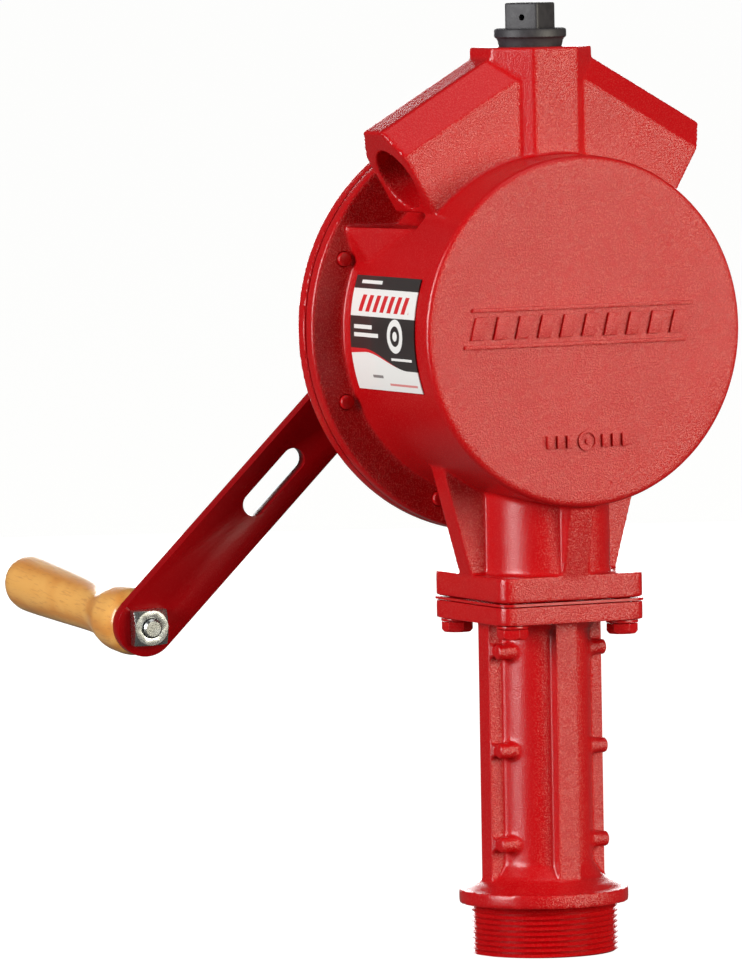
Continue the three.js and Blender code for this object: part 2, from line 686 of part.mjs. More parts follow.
function rotor() {
  let body = bar(ROTOR_RADIUS, [0, ROTOR_FRONT, 0], [0, ROTOR_REAR, 0], FINE);
  body = cut(
    body,
    bar(15.8, [0, -60, 0], [0, CHAMBER_FRONT + 10.6, 0]),
    bar(SHAFT_RADIUS + GAP, [0, -60, 0], [0, 60, 0]),
    block([-KEY_HALF - GAP, -12, 0], [KEY_HALF + GAP, 60, SHAFT_RADIUS + KEY_HEIGHT + GAP]),
  );
  for (let index = 0; index < VANE_COUNT; index += 1) {
    const slot = block([-vaneHalf - GAP, -60, VANE_SLOT_FLOOR], [vaneHalf + GAP, 60, 60]);
    const pocket = bar(9.5, [0, -60, 34], [0, 60, 34], 20);
    body = body.subtract(aroundShaft(slot, vaneTurn(index)));
    body = body.subtract(aroundShaft(pocket, index * (Math.PI / 2)));
  }
  return body;
}

add('rotor', rotor(), GREY_IRON, rotorFrame);

for (let index = 0; index < VANE_COUNT; index += 1) {
  const tip = ROTOR_RADIUS - 0.1;
  const vane = block([-vaneHalf, ROTOR_FRONT + 0.2, tip - VANE_DEPTH], [vaneHalf, ROTOR_REAR - 0.2, tip]);
  add(`vane_${index + 1}`, aroundShaft(vane, vaneTurn(index)), CARBON, rotorFrame);
}

for (let index = 0; index < VANE_COUNT; index += 1) {
  const low = VANE_SLOT_FLOOR + GAP;
  const high = ROTOR_RADIUS - 0.1 - VANE_DEPTH - GAP;
  const bow = new THREE.Shape();
  bow.moveTo(-26, low);
  bow.quadraticCurveTo(0, high * 2 - low - 1.2, 26, low);
  bow.lineTo(26, low + 0.6);
  bow.quadraticCurveTo(0, high * 2 - low, -26, low + 0.6);
  bow.closePath();
  const leaf = plate(bow, 4.4, [ALONG_Y, ALONG_Z, ALONG_X], [-2.2, 0, 0]);
  add(`vane_spring_${index + 1}`, aroundShaft(leaf, vaneTurn(index)), STEEL, rotorFrame);
}

const key = block([-KEY_HALF, -11, SHAFT_RADIUS - KEY_HEIGHT + GAP], [KEY_HALF, 30, SHAFT_RADIUS + KEY_HEIGHT]);
add('rotor_key', key, STEEL, rotorFrame);

const SHAFT_SHOULDER = CRANK_FACE + CRANK_BEND * Math.sin(CRANK_LEAN) - GAP;

function pumpShaft() {
  const round = bar(SHAFT_RADIUS, [0, CHAMBER_FRONT - 3, 0], [0, SHAFT_SHOULDER, 0], 24);
  const square = solid(new THREE.BoxGeometry(SHAFT_SQUARE, BAR_THICKNESS + 1, SHAFT_SQUARE))
    .translate([0, SHAFT_SHOULDER + BAR_THICKNESS / 2 - 0.5, 0]);
  const spin = THREE.MathUtils.radToDeg(CRANK_ANGLE);
  return cut(
    join(round, square.rotate([0, spin, 0])),
    block([-KEY_HALF - GAP, -11 - GAP, SHAFT_RADIUS - KEY_HEIGHT], [KEY_HALF + GAP, 30 + GAP, 20]),
    bar(3.3, [0, 82, 0], [0, 110, 0], SMALL),
  );
}

add('pump_shaft', pumpShaft(), STEEL, rotorFrame);

// ---------------------------------------------------------------- crank

// The crank's own frame: X runs out along the bar, Y across it, Z away from the pump.
const crank = new THREE.Group();
const outward = new THREE.Vector3(-Math.cos(CRANK_ANGLE), 0, -Math.sin(CRANK_ANGLE));
const across = new THREE.Vector3().crossVectors(ALONG_Y, outward);
crank.quaternion.setFromRotationMatrix(new THREE.Matrix4().makeBasis(outward, across, ALONG_Y));
crank.position.set(0, CRANK_FACE, SHAFT_HEIGHT);
pump.add(crank);

const hubFace = CRANK_BEND * Math.sin(CRANK_LEAN);
const leanDegrees = -THREE.MathUtils.radToDeg(CRANK_LEAN);

function crankArm() {
  const hubEnd = CRANK_BEND * Math.cos(CRANK_LEAN);
  const hubShape = new THREE.Shape();
  hubShape.absarc(0, 0, BAR_WIDTH / 2, Math.PI / 2, Math.PI * 1.5, false);
  hubShape.lineTo(hubEnd + 0.4, -BAR_WIDTH / 2);
  hubShape.lineTo(hubEnd + 0.4, BAR_WIDTH / 2);
  const hub = plate(hubShape, BAR_THICKNESS, XY, [0, 0, hubFace]);

  const barShape = new THREE.Shape();
  barShape.moveTo(CRANK_BEND, BAR_WIDTH / 2);
  barShape.lineTo(CRANK_BEND, -BAR_WIDTH / 2);
  barShape.absarc(CRANK_LENGTH, 0, BAR_WIDTH / 2, -Math.PI / 2, Math.PI / 2, false);
  const lean = plate(barShape, BAR_THICKNESS, XY, [0, 0, 0]);
  const slotCentre = CRANK_LENGTH - SLOT_FROM_GRIP;
  const slot = plate(stadium(SLOT_LENGTH, SLOT_WIDTH), 20, XY, [slotCentre, 0, -5]);
  const boltHole = bar(GRIP_BOLT_RADIUS + GAP, [CRANK_LENGTH, 0, -5], [CRANK_LENGTH, 0, 15], SMALL);
  const leaning = cut(lean, slot, boltHole).rotate([0, leanDegrees, 0]);

  const squareHole = solid(new THREE.BoxGeometry(SHAFT_SQUARE + 2 * GAP, SHAFT_SQUARE + 2 * GAP, 40));
  return cut(join(hub, leaning), squareHole);
}

add('crank_arm', crankArm(), CASTING_RED, crank);

const armRear = hubFace + BAR_THICKNESS;
const crankWasher = cut(
  bar(11, [0, 0, armRear + GAP], [0, 0, armRear + 2], 24),
  bar(3.3, [0, 0, 0], [0, 0, 30], SMALL),
);
add('crank_washer', crankWasher, ZINC, crank);

const crankScrew = join(
  bar(7.2, [0, 0, armRear + 2 + GAP], [0, 0, armRear + 7.5], 6),
  bar(3, [0, 0, armRear - 14], [0, 0, armRear + 3], SMALL),
);
add('crank_screw', crankScrew, ZINC, crank);

// ---------------------------------------------------------------- grip

// The grip's frame stands square on the leaning bar: Z runs out along the bolt.
const grip = new THREE.Group();
grip.quaternion.setFromAxisAngle(ALONG_Y, -CRANK_LEAN);
grip.position.set(CRANK_LENGTH * Math.cos(CRANK_LEAN), 0, CRANK_LENGTH * Math.sin(CRANK_LEAN));
crank.add(grip);

const gripFoot = BAR_THICKNESS + 1.2;
const gripEnd = BAR_THICKNESS + GRIP_LENGTH;
const headSeat = gripEnd - 11;
const woodGrip = turned(
  [
    [GRIP_BORE, gripFoot],
    [12, gripFoot],
    [13.6, gripFoot + 3.5],
    [14.1, gripFoot + 9],
    [14.1, gripFoot + 18],
    [13, gripFoot + 25],
    [11.2, gripFoot + 33],
    [10.5, gripFoot + 44],
    [10.7, gripFoot + 59],
    [11.3, gripFoot + 79],
    [11.8, gripFoot + 99],
    [12.4, gripFoot + 118],
    [12.3, gripFoot + 128],
    [10.9, gripFoot + 132],
    [8.4, gripEnd],
    [GRIP_BORE, gripEnd],
    [GRIP_BORE, gripFoot],
  ],
  ALONG_Z,
  [0, 0, 0],
  20,
);
const boltHeadPocket = bar(7.4, [0, 0, headSeat], [0, 0, gripEnd + 10], 20);
add('wood_handle', cut(woodGrip, boltHeadPocket), BEECH, grip);

const gripBolt = join(
  bar(GRIP_BOLT_RADIUS, [0, 0, -NUT_HEIGHT - 2.2], [0, 0, headSeat + 2], SMALL),
  bar(7, [0, 0, headSeat + GAP], [0, 0, headSeat + 4], 20),
);
add('handle_bolt', gripBolt, ZINC, grip);

const handleNut = cut(
  solid(new THREE.BoxGeometry(NUT_SIDE, NUT_SIDE, NUT_HEIGHT)).translate([0, 0, -NUT_HEIGHT / 2 - GAP]),
  bar(GRIP_BOLT_RADIUS + GAP, [0, 0, -20], [0, 0, 20], SMALL),
);
const nutSquareUp = 90 - THREE.MathUtils.radToDeg(CRANK_ANGLE);
add('handle_nut', handleNut.rotate([0, 0, nutSquareUp]), ZINC, grip);

const gripWasher = cut(
  bar(8, [0, 0, BAR_THICKNESS + GAP], [0, 0, gripFoot - GAP], 24),
  bar(GRIP_BOLT_RADIUS + GAP, [0, 0, -20], [0, 0, 20], SMALL),
);
add('handle_washer', gripWasher, ZINC, grip);

// ---------------------------------------------------------------- rating label on the drum's left wall

const LABEL_HALF_HEIGHT = 23.8;
const LABEL_RAISE = 1.5;
const LABEL_LENGTH = 58;
const LABEL_REAR = 24.2;

const labelMiddle = Math.PI - LABEL_RAISE / DRUM_RADIUS;
const labelSpread = LABEL_HALF_HEIGHT / DRUM_RADIUS;
const labelShape = new THREE.Shape();
labelShape.absarc(0, 0, DRUM_RADIUS + GAP + 0.4, labelMiddle - labelSpread, labelMiddle + labelSpread, false);
labelShape.absarc(0, 0, DRUM_RADIUS + GAP, labelMiddle + labelSpread, labelMiddle - labelSpread, true);
const label = plate(labelShape, LABEL_LENGTH, [ALONG_X, ALONG_Z, ALONG_Y.clone().negate()], [
  0,
  LABEL_REAR,
  DRUM_HEIGHT,
]);
add('rating_label', label, LABEL);

export default pump;
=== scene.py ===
# Hand-cranked rotary vane transfer pump. Its parts come in this order: inlet column and its thread,
# flange joint, casing and badge, rear cover, plug, running gear and valve, crank, grip and label.
# Sizes are in millimetres and MM turns them into the frame's metres. The origin is on the bung
# thread's axis at the collar's underside, +Z is up, and the crank is on the +Y side.

import math

import bpy
from mathutils import Matrix, Vector


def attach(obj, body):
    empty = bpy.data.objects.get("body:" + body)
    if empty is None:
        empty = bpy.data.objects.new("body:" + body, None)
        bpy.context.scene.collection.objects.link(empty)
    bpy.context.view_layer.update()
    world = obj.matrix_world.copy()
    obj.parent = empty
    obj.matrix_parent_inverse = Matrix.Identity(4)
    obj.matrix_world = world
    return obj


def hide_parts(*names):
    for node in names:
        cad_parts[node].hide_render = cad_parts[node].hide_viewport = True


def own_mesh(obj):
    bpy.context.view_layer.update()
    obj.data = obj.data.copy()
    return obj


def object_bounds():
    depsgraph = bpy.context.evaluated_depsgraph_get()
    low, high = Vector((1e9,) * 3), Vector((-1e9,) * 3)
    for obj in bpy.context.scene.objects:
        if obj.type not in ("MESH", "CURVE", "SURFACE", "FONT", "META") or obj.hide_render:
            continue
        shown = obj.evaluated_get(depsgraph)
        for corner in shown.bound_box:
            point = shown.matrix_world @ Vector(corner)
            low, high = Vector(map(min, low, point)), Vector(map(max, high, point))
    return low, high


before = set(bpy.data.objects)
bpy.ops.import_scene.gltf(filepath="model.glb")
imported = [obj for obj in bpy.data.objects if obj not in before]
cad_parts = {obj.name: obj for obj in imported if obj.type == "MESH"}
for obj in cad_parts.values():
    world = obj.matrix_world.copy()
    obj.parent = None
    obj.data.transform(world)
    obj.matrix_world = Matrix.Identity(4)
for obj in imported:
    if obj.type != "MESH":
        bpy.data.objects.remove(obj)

MM = 0.001
cad_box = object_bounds()


# ------------------------------------------------------------------ camera
# A long lens looks at the closed face from its left, a little from above.

CAMERA_TURN = -26.04
CAMERA_DROP = 3.84
CAMERA_ROLL = -0.98

camera = bpy.data.objects.new("camera", bpy.data.cameras.new("camera"))
bpy.context.scene.collection.objects.link(camera)
camera.data.lens = 365.9
camera.data.clip_end = 50
camera.matrix_world = (
    Matrix.Translation((-1.803797, -3.537432, 0.439953))
    @ Matrix.Rotation(math.radians(CAMERA_TURN), 4, "Z")
    @ Matrix.Rotation(math.radians(90 - CAMERA_DROP), 4, "X")
    @ Matrix.Rotation(math.radians(CAMERA_ROLL), 4, "Z")
)
bpy.context.scene.camera = camera


# ------------------------------------------------------------------ studio
# A seamless white table and four soft boxes. The largest faces the closed round face, one stands on
# the side that the crank points to, a faint one hangs above, and one lights the back.

WHITE_PAPER = "#fcfcfb"
PAPER_SHADE = "#4a4a49"


def linear(hex_colour, alpha=1.0):
    """An sRGB hex colour as the linear numbers that a shader takes."""
    channels = [int(hex_colour[i : i + 2], 16) / 255 for i in (1, 3, 5)]
    return [c / 12.92 if c <= 0.04045 else ((c + 0.055) / 1.055) ** 2.4 for c in channels] + [alpha]


def add_node(material, kind, inputs=None, **settings):
    """Adds a node with its settings. An input takes a number, a colour or another node's output."""
    node = material.node_tree.nodes.new(kind)
    for key, value in settings.items():
        setattr(node, key, value)
    for key, value in (inputs or {}).items():
        if isinstance(value, bpy.types.NodeSocket):
            material.node_tree.links.new(value, node.inputs[key])
        else:
            node.inputs[key].default_value = value
    return node


def new_material(name, colour, roughness, metallic=0.0):
    """A material and its shader, with a plain colour, a roughness and a metal share set."""
    material = bpy.data.materials.new(name)
    material.use_nodes = True
    shader = material.node_tree.nodes["Principled BSDF"]
    shader.inputs["Base Color"].default_value = linear(colour)
    shader.inputs["Roughness"].default_value = roughness
    shader.inputs["Metallic"].default_value = metallic
    return material, shader


def deselect():
    """Leaves edit mode and selects nothing."""
    if bpy.context.mode != "OBJECT":
        bpy.ops.object.mode_set(mode="OBJECT")
    bpy.ops.object.select_all(action="DESELECT")


def soft_box(name, spot, aim, width, height, power, tint=(1, 1, 1)):
    """A rectangular light in metres, at a spot and turned to face a point."""
    deselect()
    bpy.ops.object.light_add(type="AREA", location=spot)
    light = bpy.context.object
    light.name = name
    light.data.shape = "RECTANGLE"
    light.data.size = width
    light.data.size_y = height
    light.data.energy = power
    light.data.color = tint
    light.rotation_euler = (Vector(aim) - Vector(spot)).to_track_quat("-Z", "Y").to_euler()


soft_box("face_box", (1.12, -2.2, 0.68), (0, 0, 0.2), 1.6, 1.45, 68, (1, 0.95, 0.8))
soft_box("side_box", (-2.3, -0.2, 0.75), (0, 0, 0.2), 0.9, 1.5, 58)
soft_box("top_box", (0.1, -0.5, 1.9), (0, 0, 0.2), 1.2, 1.0, 4)
soft_box("rear_box", (0.9, 2.2, 0.35), (0, 0, 0.2), 1.3, 1.2, 24)

world = bpy.data.worlds.new("white studio")
bpy.context.scene.world = world
world.use_nodes = True
world.node_tree.nodes["Background"].inputs["Color"].default_value = (1, 1, 1, 1)
world.node_tree.nodes["Background"].inputs["Strength"].default_value = 0.07
bpy.context.scene.view_settings.view_transform = "Standard"

deselect()
bpy.ops.mesh.primitive_plane_add(size=60, location=(0, 0, cad_box[0][2]))
table = bpy.context.object
table.name = "table"
white_paper, paper_shader = new_material("white paper", PAPER_SHADE, 0.9)
paper_shader.inputs["Emission Color"].default_value = linear(WHITE_PAPER)
# The table is white to the eye but throws little light back on the pump.
ray = add_node(white_paper, "ShaderNodeLightPath")
glow = add_node(
    white_paper, "ShaderNodeMapRange", {
        "Value": ray.outputs["Is Camera Ray"], "To Min": 0.02, "To Max": 1.0
    }
)
white_paper.node_tree.links.new(glow.outputs["Result"], paper_shader.inputs["Emission Strength"])
table.data.materials.append(white_paper)


# ------------------------------------------------------------------ red powder coat
# The castings, their fasteners and the crank arm are sprayed with a glossy red polyester powder and
# baked. It flows into a fine orange peel with pinpoint pits, so highlights break into speckles; part of
# that sparkle is painted into the colour as pale pink glints.

POWDER_RED = "#c2030c"
POWDER_RED_DEEP = "#b3020a"
# Painted highlight: a pale pink that is mixed into the red as glints, standing in for light sparkling
# on the peel.
POWDER_RED_PAINTED_GLINT = "#ec6a60"
PEEL_SIZE = 0.6
PIT_SIZE = 17


def sprayed_red(name, peel_height, roughness, colour, deep_colour, gloss_level, painted_glint, walls):
    """Powder coat over a surface: cells of orange peel, a few pits, slow drifts of tone, and painted
    highlights as pale glints mixed into the colour on the peel. The side walls, which drew cleanly out
    of the sand, show the given share of the stipple and of its painted glints."""
    material, shader = new_material(name, colour, roughness)
    place = add_node(material, "ShaderNodeTexCoord")
    drift = add_node(
        material, "ShaderNodeTexNoise", {
            "Vector": place.outputs["Object"], "Scale": 1 / (30 * MM), "Detail": 3.0
        }
    )
    tone = add_node(
        material,
        "ShaderNodeMix",
        {0: drift.outputs["Fac"], 6: linear(colour), 7: linear(deep_colour)},
        data_type="RGBA",
    )
    peel = add_node(
        material,
        "ShaderNodeTexNoise",
        {
            "Vector": place.outputs["Object"],
            "Scale": 1 / (PEEL_SIZE * MM),
            "Detail": 2.0,
            "Roughness": 0.55,
        },
    )
    pits = add_node(
        material,
        "ShaderNodeTexVoronoi",
        {"Vector": place.outputs["Object"], "Scale": 1 / (PIT_SIZE * MM), "Randomness": 1.0},
    )
    pit_floor = add_node(
        material,
        "ShaderNodeMapRange",
        {
            "Value": pits.outputs["Distance"],
            "From Min": 0.015,
            "From Max": 0.045,
            "To Min": -0.5,
            "To Max": 0.0,
        },
    )
    turned = add_node(material, "ShaderNodeSeparateXYZ", {"Vector": place.outputs["Normal"]})
    facing = add_node(material, "ShaderNodeMath", {0: turned.outputs["Y"]}, operation="ABSOLUTE")
    stipple = add_node(
        material,
        "ShaderNodeMapRange",
        {
            "Value": facing.outputs["Value"],
            "From Min": 0.8,
            "From Max": 0.95,
            "To Min": walls,
            "To Max": 1.0,
        },
    )
    # Painted highlight: where the peel noise is high, pale pink glints are mixed into the base colour,
    # standing in for light caught on the peel's crests. They are strongest on faces that look along the
    # shaft, such as the drum's closed face.
    painted_glint_grain = add_node(
        material,
        "ShaderNodeMapRange",
        {
            "Value": peel.outputs["Fac"],
            "From Min": 0.48,
            "From Max": 0.66,
            "To Min": 0.0,
            "To Max": painted_glint,
        },
    )
    painted_glint_mask = add_node(
        material,
        "ShaderNodeMath",
        {0: painted_glint_grain.outputs["Result"], 1: stipple.outputs["Result"]},
        operation="MULTIPLY",
    )
    with_painted_glints = add_node(
        material,
        "ShaderNodeMix",
        {0: painted_glint_mask.outputs["Value"], 6: tone.outputs[2], 7: linear(POWDER_RED_PAINTED_GLINT)},
        data_type="RGBA",
    )
    material.node_tree.links.new(with_painted_glints.outputs[2], shader.inputs["Base Color"])
    skin = add_node(
        material,
        "ShaderNodeMath",
        {0: peel.outputs["Fac"], 1: pit_floor.outputs["Result"]},
        operation="ADD",
    )
    bump = add_node(
        material,
        "ShaderNodeBump",
        {
            "Strength": stipple.outputs["Result"],
            "Distance": peel_height * MM,
            "Height": skin.outputs["Value"],
        },
    )
    material.node_tree.links.new(bump.outputs["Normal"], shader.inputs["Normal"])
    gloss = add_node(
        material,
        "ShaderNodeMapRange",
        {"Value": drift.outputs["Fac"], "To Min": roughness - 0.05, "To Max": roughness + 0.07},
    )
    material.node_tree.links.new(gloss.outputs["Result"], shader.inputs["Roughness"])
    shader.inputs["Specular IOR Level"].default_value = gloss_level
    return material


cast_red = sprayed_red(
    "red powder coat on sand casting", 0.4, 0.21, POWDER_RED, POWDER_RED_DEEP, 0.5, 0.4, 0.3
)
smooth_red = sprayed_red(
    "red powder coat on turned steel", 0.08, 0.24, POWDER_RED, POWDER_RED_DEEP, 0.45, 0.1, 1.0
)


# ------------------------------------------------------------------ inlet column
# A grey iron casting: a ribbed tube with a square flange on top and a collar at the foot. The
# small round pads on its sides come from the pattern, and its corners are rounded all over.

FLANGE_SIDE = 65.6
FLANGE_CORNER = 6
FLANGE_UNDERSIDE = 116
COLUMN_FLANGE_TOP = 123.4
TUBE_RADIUS = 20.5
COLUMN_BORE = 14
RIB_HALF_WIDTH = 5
FRONT_RIB_REACH = 24.3
SIDE_RIB_REACH = 26
COLLAR_RADIUS = 34.6
COLLAR_RIM = 5
COLLAR_SLOPE_END = 28.5
COLLAR_NECK = 24
FLANGE_SWEEP_END = 25.5
VALVE_POCKET = 16.8
SUCTION_SOCKET = 16
BOLT_HOLE = 3.4
PAD_HEIGHTS = (24.9, 63.3, 103.7)
PAD_OFFSET = -9.2
PAD_RADIUS = 3.3
PAD_REACH = 24.7
BOLT_PITCH = 50
CAST_GRAIN = 0.8

bolt_spots = [(x * BOLT_PITCH / 2, y * BOLT_PITCH / 2) for x, y in ((-1, -1), (1, -1), (1, 1), (-1, 1))]


def settle(piece):
    """Puts a piece's place, turn and scale into its mesh, so the object stands at the origin."""
    deselect()
    piece.select_set(True)
    bpy.context.view_layer.objects.active = piece
    bpy.ops.object.transform_apply(location=True, rotation=True, scale=True)
    return piece


def round_bar(name, radius, start, end, sides=96, end_radius=None):
    """A cylinder, or a cone where the end radius differs, from one point to another."""
    start, end = Vector(start) * MM, Vector(end) * MM
    run = end - start
    deselect()
    bpy.ops.mesh.primitive_cone_add(
        vertices=sides,
        radius1=radius * MM,
        radius2=(radius if end_radius is None else end_radius) * MM,
        depth=run.length,
        location=(start + end) / 2,
        rotation=run.to_track_quat("Z", "Y").to_euler(),
    )
    piece = bpy.context.object
    piece.name = name
    return settle(piece)


def billet(name, low, high):
    """A rectangular block between two corners."""
    low, high = Vector(low) * MM, Vector(high) * MM
    deselect()
    bpy.ops.mesh.primitive_cube_add(size=1, location=(low + high) / 2)
    piece = bpy.context.object
    piece.name = name
    piece.dimensions = high - low
    bpy.context.view_layer.update()
    return settle(piece)


def finish_with(piece, kind, **settings):
    """Adds a modifier with its settings and applies it."""
    deselect()
    piece.select_set(True)
    bpy.context.view_layer.objects.active = piece
    modifier = piece.modifiers.new(kind.lower(), kind)
    for key, value in settings.items():
        setattr(modifier, key, value)
    bpy.ops.object.modifier_apply(modifier=modifier.name)
    return piece


def combine(piece, operation, *others):
    """Joins solids to a piece, or cuts them from it, and removes them."""
    for other in others:
        finish_with(piece, "BOOLEAN", operation=operation, object=other, solver="MANIFOLD")
        bpy.data.objects.remove(other)
    return piece


def round_edges(piece, width, segments, chosen):
    """Bevels the edges that the test picks by their two end points, given in millimetres."""
    deselect()
    bpy.context.view_layer.objects.active = piece
    bpy.ops.object.mode_set(mode="EDIT")
    bpy.ops.mesh.select_mode(type="EDGE")
    bpy.ops.mesh.select_all(action="DESELECT")
    bpy.ops.object.mode_set(mode="OBJECT")
    points = [vertex.co / MM for vertex in piece.data.vertices]
    for edge in piece.data.edges:
        edge.select = chosen(points[edge.vertices[0]], points[edge.vertices[1]])
    bpy.ops.object.mode_set(mode="EDIT")
    bpy.ops.mesh.bevel(offset=width * MM, segments=segments, affect="EDGES")
    bpy.ops.object.mode_set(mode="OBJECT")
    return piece


def upright(a, b):
    """A test for edges that stand straight up."""
    return abs(a.z - b.z) > 1 and (a - b).xy.length < 0.1


def square_flange(name, foot, top):
    """A square plate round the column with rounded corners."""
    flange = billet(
        name, (-FLANGE_SIDE / 2, -FLANGE_SIDE / 2, foot), (FLANGE_SIDE / 2, FLANGE_SIDE / 2, top)
    )
    return round_edges(flange, FLANGE_CORNER, 8, upright)


def cast(piece, grain, rounding):
    """Blends joined solids into one casting whose corners are rounded by the sand mould."""
    finish_with(piece, "REMESH", mode="VOXEL", voxel_size=grain * MM)
    finish_with(piece, "SMOOTH", factor=0.5, iterations=rounding)
    return piece


def smooth_faces(piece, degrees):
    """Shades a piece smooth, apart from edges sharper than the given degrees."""
    deselect()
    piece.select_set(True)
    bpy.context.view_layer.objects.active = piece
    bpy.ops.object.shade_smooth_by_angle(angle=math.radians(degrees))


def paint(piece, material, slot, body, *nodes):
    """Gives a finished piece its one material and its body, and hides the CAD nodes it stands for. The
    slot is not used.
    """
    piece.data.materials.clear()
    piece.data.materials.append(material)
    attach(piece, body)
    if nodes:
        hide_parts(*nodes)
    return piece


column = round_bar("inlet_column_casting", TUBE_RADIUS, (0, 0, 0.2), (0, 0, 118), 96)
combine(
    column,
    "UNION",
    round_bar("collar", COLLAR_RADIUS, (0, 0, 0), (0, 0, COLLAR_RIM + 0.6), 128),
    round_bar(
        "collar_slope", COLLAR_RADIUS - 0.4, (0, 0, COLLAR_RIM), (0, 0, 8.2), 96, COLLAR_SLOPE_END
    ),
    round_bar("collar_sweep", COLLAR_SLOPE_END, (0, 0, 8), (0, 0, 10.6), 96, COLLAR_NECK),
    round_bar("collar_neck", COLLAR_NECK + 0.2, (0, 0, 10.4), (0, 0, 16.5), 96, TUBE_RADIUS),
    billet(
        "front_ribs",
        (-RIB_HALF_WIDTH, -FRONT_RIB_REACH, 6),
        (RIB_HALF_WIDTH, FRONT_RIB_REACH, 118),
    ),
    billet("side_ribs", (-SIDE_RIB_REACH, -RIB_HALF_WIDTH, 6), (SIDE_RIB_REACH, RIB_HALF_WIDTH, 118)),
    round_bar("flange_sweep", TUBE_RADIUS, (0, 0, 112), (0, 0, 117), 96, FLANGE_SWEEP_END),
    square_flange("column_flange", FLANGE_UNDERSIDE, COLUMN_FLANGE_TOP),
)
for height in PAD_HEIGHTS:
    pad = round_bar(
        "pad", PAD_RADIUS, (-PAD_REACH, PAD_OFFSET, height), (PAD_REACH, PAD_OFFSET, height), 32
    )
    combine(column, "UNION", pad)
cast(column, CAST_GRAIN, 5)
combine(
    column,
    "DIFFERENCE",
    round_bar("bore", COLUMN_BORE, (0, 0, -5), (0, 0, 130)),
    round_bar("valve_pocket", VALVE_POCKET, (0, 0, 104), (0, 0, 130)),
    round_bar("suction_socket", SUCTION_SOCKET, (0, 0, -5), (0, 0, 3.6)),
    *[round_bar("bolt_hole", BOLT_HOLE, (x, y, 110), (x, y, 130), 24) for x, y in bolt_spots],
)
smooth_faces(column, 35)
paint(column, cast_red, "red_powder_coat", "pump_body", "inlet_column")


# ------------------------------------------------------------------ bung thread
# A two inch pipe thread is cut on the column's foot, 11.5 turns to the inch, and screws into a
# drum's bung. It is drawn without the slight taper that such a thread has.

THREAD_PITCH = 25.4 / 11.5
THREAD_RADIUS = 30.15
THREAD_ROOT = 28.65
THREAD_LENGTH = 20.4
THREAD_TURNS = 11


def saw_off(piece, point, normal):
    """Cuts away what lies beyond a plane and closes the cut."""
    deselect()
    bpy.context.view_layer.objects.active = piece
    bpy.ops.object.mode_set(mode="EDIT")
    bpy.ops.mesh.select_all(action="SELECT")
    bpy.ops.mesh.bisect(
        plane_co=Vector(point) * MM,
        plane_no=Vector(normal).normalized(),
        use_fill=True,
        clear_outer=True,
    )
    bpy.ops.object.mode_set(mode="OBJECT")
    return piece


# One groove's outline, a root, a crest and a root, is wound up the axis.
thread_profile = {
    1: (THREAD_ROOT, 0, -THREAD_LENGTH - THREAD_PITCH),
    0: (THREAD_RADIUS, 0, -THREAD_LENGTH - THREAD_PITCH / 2),
    2: (THREAD_ROOT, 0, -THREAD_LENGTH),
}
deselect()
bpy.ops.mesh.primitive_plane_add(size=THREAD_PITCH * MM)
bung_thread = bpy.context.object
bung_thread.name = "bung_thread"
bpy.ops.object.mode_set(mode="EDIT")
bpy.ops.mesh.delete(type="ONLY_FACE")
bpy.ops.mesh.select_mode(type="VERT")
bpy.ops.mesh.select_all(action="DESELECT")
bpy.ops.object.mode_set(mode="OBJECT")
bung_thread.data.vertices[3].select = True
bpy.ops.object.mode_set(mode="EDIT")
bpy.ops.mesh.delete(type="VERT")
bpy.ops.object.mode_set(mode="OBJECT")
for index, spot in thread_profile.items():
    bung_thread.data.vertices[index].co = Vector(spot) * MM
finish_with(
    bung_thread,
    "SCREW",
    axis="Z",
    steps=120,
    render_steps=120,
    screw_offset=THREAD_PITCH * MM,
    iterations=THREAD_TURNS,
    use_merge_vertices=True,
)
bpy.ops.object.mode_set(mode="EDIT")
bpy.ops.mesh.select_all(action="SELECT")
bpy.ops.mesh.remove_doubles(threshold=0.01 * MM)
bpy.ops.object.mode_set(mode="OBJECT")
saw_off(bung_thread, (0, 0, -0.2), (0, 0, 1))
saw_off(bung_thread, (0, 0, -THREAD_LENGTH), (0, 0, -1))
bpy.ops.object.mode_set(mode="EDIT")
bpy.ops.mesh.select_all(action="SELECT")
bpy.ops.mesh.normals_make_consistent(inside=False)
bpy.ops.object.mode_set(mode="OBJECT")
combine(bung_thread, "DIFFERENCE", round_bar("pipe_socket", SUCTION_SOCKET, (0, 0, -40), (0, 0, 10)))
smooth_faces(bung_thread, 25)
paint(bung_thread, cast_red, "red_powder_coat", "pump_body")


# ------------------------------------------------------------------ flange joint
# A fibre gasket lies between the two square flanges. It was clamped before the pump was sprayed,
# so its edge is red too and shows as a dark line between two bright ones.

JOINT_HEIGHT = 124.2
GASKET_BORE = 17.5
GASKET_PROUD = 0.3
GASKET_HALF = 0.5

gasket_edge = FLANGE_SIDE / 2 + GASKET_PROUD
gasket = billet(
    "flange_gasket",
    (-gasket_edge, -gasket_edge, JOINT_HEIGHT - GASKET_HALF),
    (gasket_edge, gasket_edge, JOINT_HEIGHT + GASKET_HALF),
)
round_edges(gasket, FLANGE_CORNER, 8, upright)
combine(
    gasket,
    "DIFFERENCE",
    round_bar("gasket_bore", GASKET_BORE, (0, 0, 120), (0, 0, 130)),
    *[round_bar("gasket_hole", BOLT_HOLE, (x, y, 120), (x, y, 130), 24) for x, y in bolt_spots],
)
smooth_faces(gasket, 30)
paint(gasket, smooth_red, "fibre_gasket", "pump_body", "column_gasket")

# Four quarter inch hex bolts come up through the column's flange, each on a plain washer.
HEAD_FLATS = 11.1
HEAD_HEIGHT = 4.2
WASHER_TOP = 115.7
WASHER_THICKNESS = 1.2
BOLT_TOP = 133
SHANK_RADIUS = 3.1
FLANGE_WASHER_RADIUS = 6.6


def break_edges(piece, width, segments, sharpness):
    """Takes the sharpness off every edge that turns by more than the given degrees."""
    finish_with(
        piece,
        "BEVEL",
        width=width * MM,
        segments=segments,
        limit_method="ANGLE",
        angle_limit=math.radians(sharpness),
    )


